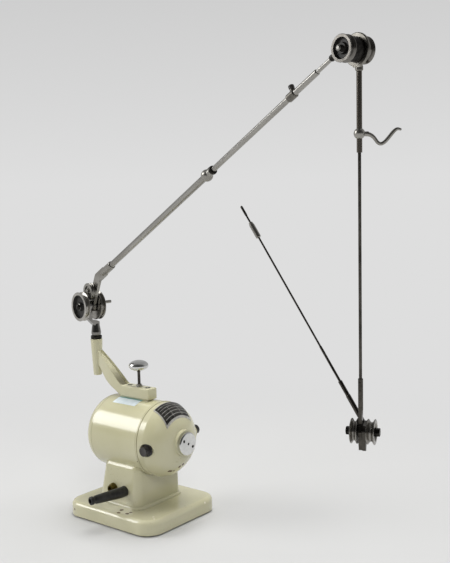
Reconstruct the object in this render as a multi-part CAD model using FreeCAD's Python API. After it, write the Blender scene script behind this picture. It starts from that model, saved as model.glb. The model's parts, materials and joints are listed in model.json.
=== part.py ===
import FreeCAD, Part
import math
import os
from FreeCAD import Placement, Rotation, Vector

os.makedirs("parts", exist_ok=True)

# Cord-driven bench dental engine: a motor on a cast base, and a jointed steel arm.
# Millimetres. Origin: middle of the underside. X runs along the motor shaft to its
# chromed front cap, Y points away from the cable sleeve, Z is up.

# Clearances
seatGap = 0.05
slideGap = 0.02
runningGap = 0.06
sideGap = 0.3
airGap = 0.4

# Base
plateLength = 153.0
plateWidth = 133.0
plateHeight = 18.0
plateCorner = 23.0
plateRound = 6.0
plateWall = 7.0
plateTop = 8.0
padThick = 2.0
padInset = 4.0

# Pedestal
pedestalFront = 33.0
pedestalRearLow = -41.0
pedestalRearHigh = -27.0
pedestalHalfWidth = 41.0
pedestalCorner = 10.0
pedestalShoulder = 8.0
footFlare = 3.0
footHeight = 3.5
screwShank = 2.5
screwHead = 4.6
screwHeadHeight = 3.5
screwReach = 14.0
screwPlay = 0.3

# Motor
motorHeight = 105.0
motorRadius = 47.5
shellWall = 4.0
shellRear = -41.5
seamX = 38.0
beadHeight = 0.5
beadWidth = 1.8
bellWall = 3.5
rearShoulder = 16.0
bossRadius = 16.4
bossStart = 74.5
bossFace = 79.5
rearBossRadius = 13.0
rearBossLength = 6.0
spigotLength = 7.0
capRadius = 14.7
capThick = 4.8
capEdge = 1.6
capScrewRadius = 9.4
capScrewAngle = 148.0
capScrewShank = 1.3
capHole = 1.6
shaftRadius = 5.0
journalRadius = 4.0
journalLength = 12.0
bearingRadius = 9.0
bearingLength = 8.0
bearingCover = 3.0
coreStart = -24.0
coreLength = 46.0
rotorRadius = 26.6
poleHalfWidth = 20.0
yokeThick = 8.0
coilWidth = 7.0
coilOverhang = 8.0
slotCount = 12
slotWidth = 3.0
slotDepth = 8.0
commutatorRadius = 13.0
commutatorLength = 18.0
fanRadius = 32.0
fanWidth = 7.0
fanBlades = 8
fanPlate = 1.4
tieRadius = 39.5
tieShank = 1.9
tieHead = 3.6
tieSink = 4.0
tieHeadHeight = 3.0
tieGrip = 5.0
drivePulleyRadius = 16.0
drivePulleyWidth = 11.0
drivePulleyGap = 3.0

# Brushes
brushX = 53.6
brushFace = 41.0
brushBossRadius = 9.8
brushTilt = 3.2
holderRadius = 5.6
holderWall = 1.4
holderRoot = 20.0
brushBossRoot = 34.0
brushCapRadius = 8.0
brushCapFlange = 3.0
brushKnobRadius = 6.0
brushCapHeight = 9.6
brushCapSpigot = 3.0
carbonLength = 14.0
nameplateThick = 0.8
nameplateFront = 69.8
nameplateRear = 47.3
nameplateHalfWidth = 22.4

# Cable sleeve and brass fitting
cableX = 9.8
cableHeight = 41.2
cableBendStart = 8.0
cableBendRadius = 30.0
cableTurn = 12.0
cableSleeveEnd = 44.0
cableCollar = 8.0
cableSleeveRadius = 6.8
cableSleeveTip = 5.3
cableBore = 3.2
spigotRadius = 4.6
spigotDepth = 9.0
fittingX = -9.5
fittingHeight = 42.0
fittingRadius = 6.4
fittingBore = 3.3

# Arm bracket and switch knob
barFront = 26.0
barRear = -30.0
barRise = 13.5
barHalfWidth = 11.0
barRound = 2.5
bracketScrewX = (-19.5, 14.0)
spindleX = -75.3
spindleSeat = 4.0
sleeveLift = 9.0
sleeveLength = 49.0
sleeveBottomRadius = 5.6
sleeveTopRadius = 8.1
webLift = 17.0
webDepth = 26.0
webHalfWidth = 5.2
knobX = 2.0
knobStemRadius = 1.9
knobTravel = 6.0
knobHeadRadius = 12.7
knobHeadHeight = 12.6
knobLift = 23.2
bushRadius = 4.3
bushHeight = 3.0
bushDepth = 4.0

# Shoulder joint
shoulderRise = 45.6
armYaw = -12.5
armPitch = 28.1
armPlane = -4.8
spindleRadius = 4.0
bulbRadius = 6.5
collarRadius = 7.4
collarHeight = 4.5
hubRadius = 7.0
hubStart = -17.5
crankThick = 6.6
crankHalf = 4.0
axleRadius = 3.0
nutRadius = 4.2
nutRecess = 2.6
farNutRadius = 4.6
stubRadius = 2.1
stubEnd = 24.6
stubOffset = 2.4
bigPulleyRadius = 19.3
pulleyWidth = 7.4
bigPulleyFace = -25.1
bigPulleyFar = 5.8
strapThick = 4.0
strapWidth = 12.0
strapEye = 8.0
guideX = 13.4
guideZ = 15.1
guideRadius = 11.2
guideWidth = 6.4
guidePin = 2.4

# Lower arm
armRise = 25.0
strapBendX = 35.0
socketStart = 50.0
socketEnd = 76.0
socketRadius = 5.2
lowerTubeRadius = 3.85
tubeWall = 1.0
ballX = 308.0
ballRadius = 6.75
upperTubeRadius = 3.1
upperTubeEnd = 504.0
tubeSeat = 6.0
ringOffset = 10.0
ringRadius = 4.7
ringLength = 3.4
clampInset = 40.0
clampLength = 11.0
clampRadius = 4.3
thumbRadius = 3.0
thumbHeight = 4.2
thumbStem = 1.4
rodRadius = 2.15
rodInside = 74.0
rodShown = 20.0
rodSeat = 12.0

# Elbow
elbowDrop = 8.3
elbowSleeveLength = 27.0
elbowSleeveRadius = 3.1
drumRadius = 11.3
drumStart = -8.0
drumEnd = 3.1
smallPulleyRadius = 12.4
elbowFace = 15.8
elbowHeadOut = 4.2
elbowRecess = 2.2
elbowNutRadius = 4.4
headDiscRadius = 15.0
headDiscThick = 3.0

# Forearm
foreTilt = -0.3
forePlane = 7.4
foreTubeRadius = 2.55
foreTubeEnd = 91.0
foreSocketTop = 13.0
foreSocketEnd = 18.5
foreSeat = 3.0
foreSocketRadius = 3.6
hookDrop = 74.0
hookBallRadius = 5.2
hookTurn = 51.5
hookWire = 1.05
hookBend = 2.6
hookPath = ((12.8, 0.0), (18.0, -10.6), (23.5, -9.0), (33.5, 6.4), (38.2, 2.8))
foreRodRadius = 1.5
foreRodTop = 60.0
stemTop = 299.3
stemRadius = 2.35
stemRoundEnd = 329.0
stemHoles = (3.4, 11.2)
stemHole = 0.6

# Wrist
wristTurn = -57.5
wristDrop = 350.0
wristPulleyRadius = 12.0
wristPulleyWidth = 6.7
wristAxleRadius = 2.0
wristStrapThick = 3.4
wristDish = 2.2
wristEye = 6.0
fingerLength = 18.0
wristNutRadius = 4.1
wristNutLength = 4.5

# Handpiece link
linkFold = -8.5
linkTilt = 31.6
earX = -8.8
earThick = 2.4
earDepth = 5.0
knuckleY = 1.1
knucklePin = 1.4
knuckleEye = 3.2
knuckleThick = 2.2
linkSleeveRadius = 2.3
linkSleeveStart = 5.6
linkSleeveEnd = 31.0
linkTubeRadius = 2.0
linkTubeEnd = 47.0
linkRodRadius = 1.25
linkRodStep = 84.5
linkTipRadius = 0.95
linkEnd = 246.0
noseStart = 209.0
noseEnd = 226.5
noseRadius = 2.6

# Worked out from the values above
plateTopZ = padThick + plateHeight
barTop = motorHeight + motorRadius + barRise
webBottom = barTop + webLift
webTop = webBottom + webDepth
sleeveBottom = barTop + sleeveLift
sleeveTop = sleeveBottom + sleeveLength
knobHeadBottom = barTop + knobLift
shoulderHeight = sleeveTop + shoulderRise
rotorEnd = coreStart + coreLength
rearFace = shellRear - rearShoulder
rearBossFace = rearFace - rearBossLength
shellBore = motorRadius - shellWall
capFace = bossFace + capThick
hubEnd = armPlane - strapThick / 2 - sideGap
clampX = upperTubeEnd - clampInset
elbowSleeveStart = upperTubeEnd + rodShown
elbowX = elbowSleeveStart + elbowSleeveLength
elbowZ = armRise - elbowDrop
fittingBarrel = fittingBore + 1.4
cutReach = 2 * motorRadius

shoulder = Placement(Vector(spindleX, 0, shoulderHeight), Rotation(Vector(0, 0, 1), armYaw))
arm = shoulder.multiply(Placement(Vector(0, armPlane, 0), Rotation(Vector(0, 1, 0), -armPitch)))
elbow = arm.multiply(Placement(Vector(elbowX, 0, elbowZ), Rotation(Vector(0, 1, 0), armPitch - foreTilt)))
forearm = elbow.multiply(Placement(Vector(0, forePlane, 0), Rotation()))
hook = forearm.multiply(Placement(Vector(0, 0, -hookDrop), Rotation(Vector(0, 0, 1), hookTurn)))
stem = forearm.multiply(Placement(Vector(0, 0, 0), Rotation(Vector(0, 0, 1), wristTurn)))
wrist = stem.multiply(Placement(Vector(0, 0, -wristDrop), Rotation()))
fold = wrist.multiply(Placement(Vector(0, 0, 0), Rotation(Vector(0, 1, 0), linkFold)))
knuckleX = earX - earThick - slideGap - knuckleThick / 2
knuckle = fold.multiply(Placement(Vector(knuckleX, knuckleY, earDepth), Rotation(Vector(1, 0, 0), linkTilt)))

world = Placement()
axisX = Vector(1, 0, 0)
axisY = Vector(0, 1, 0)
axisZ = Vector(0, 0, 1)


def save(name, solids, place=world):
    """Write one node: its solids, moved from their own frame into the shared one."""
    moved = []
    for solid in solids:
        copy = solid.copy()
        copy.Placement = place.multiply(copy.Placement)
        moved.append(copy)
    shape = moved[0] if len(moved) == 1 else Part.makeCompound(moved)
    for solid in shape.Solids:
        if not solid.isValid():
            print("not valid:", name)
    print(name, len(shape.Solids), round(shape.Volume))
    shape.exportStep("parts/" + name + ".step")


def rod(radius, start, end):
    """A round bar between two points."""
    return Part.makeCylinder(radius, (end - start).Length, start, end - start)


def fuse(first, *others):
    return first.multiFuse(list(others)).removeSplitter().Solids[0]


def turned(steps, axis, origin=Vector(0, 0, 0)):
    """Turn a profile of (along, radius) steps round an axis.
    A step of four numbers is an arc: middle along and radius, then end along and radius."""
    side = axis.cross(axisX).normalize() if abs(axis.x) < 0.5 else axisZ

    def at(along, radius):
        return origin + axis * along + side * radius

    edges = []
    last = at(*steps[0])
    for step in steps[1:] + [steps[0]]:
        end = at(*step[-2:])
        if len(step) == 4:
            edges.append(Part.Arc(last, at(*step[:2]), end).toShape())
        else:
            edges.append(Part.makeLine(last, end))
        last = end
    face = Part.Face(Part.Wire(edges))
    solid = face.revolve(origin, axis, 360)
    if solid.Volume < 0:
        solid.reverse()
    return Part.Solid(solid.Shells[0]) if solid.ShapeType != "Solid" else solid


def dome(baseAlong, baseRadius, topAlong):
    """The arc step that closes a turned profile with part of a sphere."""
    rise = topAlong - baseAlong
    radius = (baseRadius ** 2 + rise ** 2) / (2 * rise)
    centre = topAlong - radius
    turn = math.atan2(baseRadius, baseAlong - centre) / 2
    return (centre + radius * math.cos(turn), radius * math.sin(turn), topAlong, 0)


def roundedWire(xLow, xHigh, yHalf, radius, z):
    """A rectangle with round corners, level at height z."""
    corners = [Vector(x, y, z) for x, y in ((xLow, -yHalf), (xHigh, -yHalf), (xHigh, yHalf), (xLow, yHalf))]
    return roundCorners(corners, radius, closed=True)


def roundCorners(points, radius, closed=False):
    """Straight runs joined by tangent arcs of one radius."""
    edges = []
    count = len(points)
    inner = range(count) if closed else range(1, count - 1)
    starts, ends = {}, {}
    arcs = {}
    for i in inner:
        before, here, after = points[i - 1], points[i], points[(i + 1) % count]
        back, ahead = (before - here).normalize(), (after - here).normalize()
        half = back.getAngle(ahead) / 2
        cut = radius / math.tan(half)
        first, second = here + back * cut, here + ahead * cut
        centre = here + (back + ahead).normalize() * (radius / math.sin(half))
        middle = centre + (here - centre).normalize() * radius
        arcs[i] = Part.Arc(first, middle, second).toShape()
        ends[i], starts[i] = first, second
    for i in range(count if closed else count - 1):
        j = (i + 1) % count
        edges.append(Part.makeLine(starts.get(i, points[i]), ends.get(j, points[j])))
        if j in arcs:
            edges.append(arcs[j])
    return Part.Wire(edges)


def slab(wire, height):
    return Part.Face(wire).extrude(Vector(0, 0, height))


def plateXZ(points, yLow, yHigh, radius=0.0):
    """A flat plate: an outline in the XZ plane, given thickness along Y."""
    corners = [Vector(x, yLow, z) for x, z in points]
    if radius:
        wire = roundCorners(corners, radius, closed=True)
    else:
        wire = Part.makePolygon(corners + corners[:1])
    return Part.Face(wire).extrude(Vector(0, yHigh - yLow, 0))


def barXZ(first, second, width, yLow, yHigh):
    """A flat bar with round ends between two points of the XZ plane."""
    start, end = Vector(first[0], 0, first[1]), Vector(second[0], 0, second[1])
    along = (end - start).normalize()
    across = Vector(-along.z, 0, along.x) * (width / 2)
    corners = [start + across, end + across, end - across, start - across]
    body = plateXZ([(c.x, c.z) for c in corners], yLow, yHigh)
    ends = [Part.makeCylinder(width / 2, yHigh - yLow, Vector(p.x, yLow, p.z), axisY) for p in (start, end)]
    return fuse(body, *ends)


def bentRod(points, wire, bend):
    """A round wire along straight runs and tangent bends."""
    path = roundCorners(points, bend)
    ring = Part.Wire(Part.makeCircle(wire, points[0], points[1] - points[0]))
    return path.makePipeShell([ring], True, True)


def pulley(yLow, width, rim, bore, dish, dishDepth, outward, hub=None, hubLength=0.0, grooves=1):
    """A grooved pulley on the Y axis; outward is -1 or 1, the side with the dished face."""
    rimEdge = 0.9
    groove = (width - rimEdge * (grooves + 1)) / grooves
    depth = min(groove * 0.62, rim * 0.24)
    face = yLow if outward < 0 else yLow + width
    inner = yLow + width if outward < 0 else yLow
    hubRadius = hub or rim * 0.3
    step = -outward
    steps = [(face + step * dishDepth * 0.25, bore), (face + step * dishDepth * 0.25, hubRadius),
             (face + step * dishDepth, hubRadius + dishDepth * 0.3),
             (face + step * dishDepth, dish - dishDepth * 0.4),
             (face, dish), (face, rim - 0.35), (face + step * 0.35, rim), (face + step * rimEdge, rim)]
    along = face + step * rimEdge
    for i in range(grooves):
        steps += [(along + step * groove * 0.3, rim - depth * 0.85),
                  (along + step * groove * 0.5, rim - depth, along + step * groove * 0.7, rim - depth * 0.85),
                  (along + step * groove, rim)]
        along += step * groove
        if i < grooves - 1:
            along += step * rimEdge
            steps.append((along, rim))
    steps += [(inner - step * 0.35, rim), (inner, rim - 0.35)]
    if hubLength:
        steps += [(inner, hubRadius), (inner + step * hubLength, hubRadius), (inner + step * hubLength, bore)]
    else:
        steps.append((inner, bore))
    return turned(steps, axisY)


def hexNut(radius, length, bore, start):
    """A six-sided nut along Y."""
    corners = []
    for i in range(6):
        turn = math.radians(60 * i)
        corners.append(Vector(radius * math.cos(turn), start, radius * math.sin(turn)))
    block = Part.Face(Part.makePolygon(corners + corners[:1])).extrude(Vector(0, length, 0))
    end = start + length
    rounding = turned([(start, 0), (start, radius * 0.94), (start + length * 0.2, radius * 1.01),
                       (end - length * 0.2, radius * 1.01), (end, radius * 0.94), (end, 0)], axisY)
    return block.common(rounding).cut(rod(bore, Vector(0, start - 1, 0), Vector(0, end + 1, 0))).Solids[0]


def screwPlaces():
    """The four pedestal screws, as (x, y)."""
    xMiddle = (pedestalFront + pedestalRearLow) / 2
    xHalf = (pedestalFront - pedestalRearLow) / 2 - pedestalCorner - screwHead
    yHalf = pedestalHalfWidth - pedestalCorner - screwHead
    return [(xMiddle + sx * xHalf, sy * yHalf) for sx in (-1, 1) for sy in (-1, 1)]


def buildBase():
    half = plateLength / 2
    outline = roundedWire(-half, half, plateWidth / 2, plateCorner, padThick)
    plate = slab(outline, plateHeight)
    topEdges = [e for e in plate.Edges if all(abs(v.Z - plateTopZ) < 1e-6 for v in e.Vertexes)]
    plate = plate.makeFillet(plateRound, topEdges)
    inside = roundedWire(-half + plateWall, half - plateWall, plateWidth / 2 - plateWall,
                         plateCorner - plateWall, padThick - 1)
    plate = plate.cut(slab(inside, plateHeight - plateTop + 1))
    for x, y in screwPlaces():
        plate = plate.cut(rod(screwShank + screwPlay, Vector(x, y, 0), Vector(x, y, plateTopZ + 1)))
    save("base_plate", [plate.Solids[0]])
    padWire = roundedWire(-half + padInset, half - padInset, plateWidth / 2 - padInset,
                          plateCorner - padInset, 0)
    save("base_pad", [slab(padWire, padThick)])


def buildPedestal():
    top = motorHeight - motorRadius * 0.6
    low = roundedWire(pedestalRearLow, pedestalFront, pedestalHalfWidth, pedestalCorner, plateTopZ)
    high = roundedWire(pedestalRearHigh, pedestalFront, pedestalHalfWidth, pedestalCorner, top)
    body = Part.makeLoft([low, high], True, True)
    rim = [e for e in body.Edges if all(abs(v.Z - top) < 1e-6 for v in e.Vertexes)]
    body = body.makeFillet(pedestalShoulder, rim)
    footWire = roundedWire(pedestalRearLow - footFlare, pedestalFront + footFlare,
                           pedestalHalfWidth + footFlare, pedestalCorner + footFlare, plateTopZ)
    foot = slab(footWire, footHeight)
    footRim = [e for e in foot.Edges if all(abs(v.Z - plateTopZ - footHeight) < 1e-6 for v in e.Vertexes)]
    foot = foot.makeFillet(footFlare * 0.95, footRim)
    body = fuse(body, foot)
    saddle = rod(motorRadius + seatGap, Vector(-cutReach, 0, motorHeight), Vector(cutReach, 0, motorHeight))
    body = body.cut(saddle)
    side = -pedestalHalfWidth
    body = body.cut(rod(spigotRadius + slideGap, Vector(cableX, side - 10, cableHeight),
                        Vector(cableX, side + spigotDepth + 1, cableHeight)))
    body = body.cut(rod(fittingBarrel + slideGap, Vector(fittingX, side - 10, fittingHeight),
                        Vector(fittingX, side + spigotDepth, fittingHeight)))
    screwTop = plateTopZ + screwReach
    for x, y in screwPlaces():
        body = body.cut(rod(screwShank + slideGap, Vector(x, y, 0), Vector(x, y, screwTop + 1)))
    save("pedestal", [body.Solids[0]])
    screws = []
    seat = plateTopZ - plateTop
    for x, y in screwPlaces():
        head = turned([(seat - screwHeadHeight, 0), (seat - screwHeadHeight, screwHead - 1),
                       (seat - screwHeadHeight + 1, screwHead), (seat, screwHead), (seat, screwShank),
                       (screwTop, screwShank), (screwTop, 0)], axisZ, Vector(x, y, 0))
        screws.append(head)
    save("pedestal_screws", screws)


def bentSleeve(radius, start, bendStart, bendEnd, end, endRadius):
    """A round body: straight from start, one level bend of cableTurn, then straight to end."""
    ring = Part.Face(Part.Wire(Part.makeCircle(radius, bendStart, axisY)))
    bend = ring.revolve(bendStart - axisX * cableBendRadius, -axisZ, cableTurn)
    way = end - bendEnd
    tail = rod(radius, bendEnd, end)
    if endRadius != radius:
        tail = Part.makeCone(radius, endRadius, way.Length, bendEnd, way)
    return [rod(radius, start, bendStart), bend, tail]


def buildCableEntry():
    side = -pedestalHalfWidth
    turn = math.radians(cableTurn)
    cut = cableBendRadius * math.tan(turn / 2)
    way = Vector(-math.sin(turn), -math.cos(turn), 0)
    root = Vector(cableX, side, cableHeight)
    corner = root - axisY * cableBendStart
    bendStart, bendEnd = corner + axisY * cut, corner + way * cut
    collarStart = corner + way * (cableSleeveEnd - cableCollar)
    body = bentSleeve(cableSleeveRadius, root, bendStart, bendEnd, collarStart, cableSleeveTip)
    spigot = rod(spigotRadius, root + axisY * spigotDepth, root - axisY)
    tip = cableSleeveTip
    collar = turned([(-1, 0), (-1, tip), (0, tip), (1.5, tip - 0.7), (3.5, tip - 0.7), (4.4, tip),
                     (cableCollar - 1, tip), (cableCollar, tip - 1), (cableCollar, 0)], way, collarStart)
    sleeve = fuse(*body, spigot, collar)
    for piece in bentSleeve(cableBore, root + axisY * (spigotDepth + 1), bendStart, bendEnd,
                            corner + way * (cableSleeveEnd + 1), cableBore):
        sleeve = sleeve.cut(piece)
    save("cable_sleeve", [sleeve.Solids[0]])
    barrel = fittingBarrel
    fitting = turned([(spigotDepth - 1, 0), (spigotDepth - 1, barrel), (0, barrel), (0, fittingRadius),
                      (-2.2, fittingRadius), (-3, fittingRadius - 0.8), (-3, barrel + 0.4),
                      (-6.5, barrel + 0.4),
                      (-7, barrel), (-7, fittingBore), (2, fittingBore), (2, 0)],
                     axisY, Vector(fittingX, side, fittingHeight))
    save("cable_fitting", [fitting])


def bellCurve(offset):
    """The front bell's outline from its seam to its boss, moved inwards by offset."""
    start = seamX + beadWidth
    return [(start, motorRadius - offset), (start + 9, motorRadius - 0.6 - offset),
            (start + 24.5 - offset * 0.5, motorRadius - 9.6 - offset * 0.85,
             bossStart - offset, bossRadius + 2)]


def buildBells():
    centre = Vector(0, 0, motorHeight)
    shell = turned([(shellRear, shellBore), (shellRear, motorRadius), (seamX, motorRadius), (seamX, shellBore)],
                   axisX, centre)
    for x in bracketScrewX:
        shell = shell.cut(rod(screwShank + slideGap, Vector(x, 0, motorHeight), Vector(x, 0, barTop)))
    save("motor_shell", [shell.Solids[0]])

    outer = bellCurve(0)
    innerStart = (seamX + beadWidth, motorRadius - bellWall)
    lip = shellBore - slideGap
    curve = bellCurve(bellWall)
    bead = motorRadius + beadHeight
    cover = bossFace - bearingCover
    housing = bearingRadius + slideGap
    steps = [(seamX, lip), (seamX, bead),
             (seamX + beadWidth * 0.5, bead + beadHeight * 0.3, seamX + beadWidth, bead),
             outer[0], outer[1], outer[2],
             (bossStart + 0.4, bossRadius + 0.4, bossStart + 2, bossRadius), (bossFace, bossRadius),
             (bossFace, journalRadius + 1.5), (cover, journalRadius + 1.5), (cover, housing),
             (cover - bearingLength, housing), (cover - bearingLength, bearingRadius + 3),
             (bossStart - bellWall, bossRadius - 3)]
    # back along the inside of the dome to the lip that enters the shell
    steps += [curve[2][:2] + curve[1], innerStart, (seamX + beadWidth - 1, lip - bellWall + 1),
              (seamX - spigotLength, lip - bellWall + 1), (seamX - spigotLength, lip)]
    bell = turned(steps, axisX, centre)
    for side in (-1, 1):
        start, way = brushLine(side)
        boss = rod(brushBossRadius, start + way * brushBossRoot, start + way * brushFace)
        bell = fuse(bell, boss)
        pocket = rod(brushCapRadius + sideGap, start + way * brushFace, start + way * motorRadius * 2)
        hole = rod(holderRadius + slideGap, start + way * holderRoot, start + way * motorRadius * 2)
        bell = bell.cut(pocket).cut(hole)
    for y, z in tiePlaces():
        lug = rod(tieHead, Vector(seamX - spigotLength + 2, y, z), Vector(seamX + 9, y, z))
        bell = fuse(bell.Solids[0], lug)
        bell = bell.cut(rod(tieShank + slideGap, Vector(0, y, z), Vector(seamX + tieGrip + 1, y, z)))
    for y, z in capScrewPlaces():
        bell = bell.cut(rod(capScrewShank + slideGap, Vector(bossFace - 8, y, z), Vector(bossFace + 1, y, z)))
    save("front_bell", [bell.Solids[0]])

    mid = rearShoulder * math.sqrt(0.5)
    wallIn = bellWall
    flat = motorRadius - rearShoulder
    steps = [(shellRear, lip), (shellRear, motorRadius),
             (shellRear - mid, flat + mid, rearFace, flat), (rearFace, rearBossRadius + 1),
             (rearFace - 1, rearBossRadius), (rearBossFace, rearBossRadius), (rearBossFace, journalRadius + 1),
             (rearBossFace + 2, journalRadius + 1), (rearBossFace + 2, bearingRadius + slideGap),
             (rearBossFace + 2 + bearingLength, bearingRadius + slideGap),
             (rearBossFace + 2 + bearingLength, rearBossRadius), (rearFace + wallIn, rearBossRadius),
             (rearFace + wallIn, flat),
             (shellRear - mid + wallIn * 0.3, flat + mid - wallIn * 0.9, shellRear + 1, lip - wallIn),
             (shellRear + spigotLength, lip - wallIn), (shellRear + spigotLength, lip)]
    rear = turned(steps, axisX, centre)
    for y, z in tiePlaces():
        seat = rearFace + tieSink
        post = rod(tieHead + 1.2, Vector(seat, y, z), Vector(shellRear + spigotLength - 1, y, z))
        inside = rod(shellBore - sideGap, Vector(-cutReach, 0, motorHeight), centre)
        rear = fuse(rear, post.common(inside))
        rear = rear.cut(rod(tieHead + 0.3, Vector(rearFace - 2, y, z), Vector(seat + 2, y, z)))
        rear = rear.cut(rod(tieShank + slideGap, Vector(rearFace, y, z), Vector(0, y, z))).Solids[0]
    save("rear_bell", [rear])


def brushLine(side):
    """Where the brushes' common axis crosses the shaft, and the way out on one side."""
    turn = math.radians(brushTilt)
    way = Vector(0, math.cos(turn), math.sin(turn)) * side
    return Vector(brushX, 0, motorHeight), way


def tiePlaces():
    """Two through bolts, as (y, z), on a slant that misses the brushes and the poles."""
    turn = math.radians(38)
    y, z = tieRadius * math.cos(turn), tieRadius * math.sin(turn)
    return [(-y, motorHeight - z), (y, motorHeight + z)]


def capScrewPlaces():
    turn = math.radians(capScrewAngle)
    y, z = capScrewRadius * math.cos(turn), capScrewRadius * math.sin(turn)
    return [(y, motorHeight + z), (-y, motorHeight - z)]


def buildMotorTrim():
    centre = Vector(0, 0, motorHeight)
    cap = turned([(bossFace, capHole), (bossFace, capRadius), (capFace - capEdge, capRadius),
                  (capFace - capEdge * 0.3, capRadius - capEdge * 0.3, capFace, capRadius - capEdge),
                  (capFace, capHole)], axisX, centre)
    for y, z in capScrewPlaces():
        cap = cap.cut(rod(capScrewShank + 0.1, Vector(bossFace - 1, y, z), Vector(capFace + 1, y, z)))
    save("bearing_cap", [cap.Solids[0]])

    bolts = []
    for y, z in tiePlaces():
        seat = rearFace + tieSink + 2
        top = seat - tieHeadHeight
        end = seamX + tieGrip
        bolts.append(turned([(top, 0), (top, tieHead - 0.6), (top + 0.6, tieHead), (seat, tieHead),
                             (seat, tieShank), (end, tieShank), (end, 0)], axisX, Vector(0, y, z)))
    save("tie_bolts", bolts)

    # the plate follows the dome: a thin skin of it that is a rectangle seen from above
    start, second, third = bellCurve(-seatGap)
    outStart, outSecond, outThird = bellCurve(-seatGap - nameplateThick)
    skin = turned([start, second, third, (outThird[2], outThird[3] + nameplateThick),
                   outThird[:2] + outSecond, outStart], axisX, centre)
    block = Part.makeBox(nameplateFront - nameplateRear, 2 * nameplateHalfWidth, 2 * motorRadius,
                         Vector(nameplateRear, -nameplateHalfWidth, motorHeight))
    save("nameplate", [skin.common(block).Solids[0]])


def buildBrushes():
    holders, caps, carbons, springs = [], [], [], []
    boreRadius = holderRadius - holderWall
    for side in (-1, 1):
        origin, way = brushLine(side)
        holders.append(turned([(commutatorRadius + 3, boreRadius), (commutatorRadius + 3, holderRadius),
                               (brushFace, holderRadius), (brushFace, boreRadius)], way, origin))
        top = brushFace + brushCapHeight
        flange = brushFace + brushCapFlange
        spigot = brushFace - brushCapSpigot
        caps.append(turned([(spigot, 0), (spigot, boreRadius - slideGap), (brushFace, boreRadius - slideGap),
                            (brushFace, brushCapRadius), (flange - 0.8, brushCapRadius),
                            (flange, brushCapRadius - 0.8), (flange, brushKnobRadius),
                            (top - 1.2, brushKnobRadius - 0.2), (top, brushKnobRadius - 1.4), (top, 0)],
                           way, origin))
        inner = commutatorRadius + airGap
        carbonEnd = inner + carbonLength
        carbons.append(rod(boreRadius - runningGap, origin + way * inner, origin + way * carbonEnd))
        springs.append(springCoil(origin, way, carbonEnd, spigot, boreRadius - 0.9))
    save("brush_holders", holders)
    save("brush_caps", caps)
    save("carbon_brushes", carbons)
    save("brush_springs", springs)


def springCoil(origin, way, start, end, radius):
    """A closed-wound spring, drawn as a ribbed tube between its two seats."""
    turns = 6
    pitch = (end - start) / turns
    steps = [(start, radius - 1.2), (start, radius - 0.4)]
    for i in range(turns):
        low = start + i * pitch
        steps.append((low + pitch / 2, radius, low + pitch, radius - 0.4))
    steps.append((end, radius - 1.2))
    return turned(steps, way, origin)


def buildWindings():
    low, high = Vector(coreStart, 0, motorHeight), Vector(rotorEnd, 0, motorHeight)
    outer = shellBore - slideGap
    core = rod(outer, low, high).cut(rod(outer - yokeThick, low, high))
    bore = rotorRadius + airGap
    poles = Part.makeBox(coreLength, 2 * poleHalfWidth, 2 * outer - 2,
                         Vector(coreStart, -poleHalfWidth, motorHeight - outer + 1))
    poles = poles.common(rod(outer - 1, low, high))
    core = core.fuse(poles).cut(rod(bore, low, high))
    for y, z in tiePlaces():
        core = core.cut(rod(tieShank + 0.4, Vector(coreStart - 1, y, z), Vector(rotorEnd + 1, y, z)))
    save("stator_core", [core.removeSplitter().Solids[0]])
    coils = []
    left, right = Vector(-cutReach, 0, motorHeight), Vector(cutReach, 0, motorHeight)
    ring = rod(outer - yokeThick - sideGap, left, right).cut(rod(bore + 0.6, left, right))
    for side in (-1, 1):
        z = motorHeight if side > 0 else motorHeight - outer
        wide = Part.makeBox(coreLength + 2 * coilOverhang, 2 * (poleHalfWidth + coilWidth), outer,
                            Vector(coreStart - coilOverhang, -poleHalfWidth - coilWidth, z))
        hole = Part.makeBox(coreLength + 2 * sideGap, 2 * (poleHalfWidth + sideGap), outer,
                            Vector(coreStart - sideGap, -poleHalfWidth - sideGap, z))
        coils.append(wide.cut(hole).common(ring).Solids[0])
    save("field_coils", coils)


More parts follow.
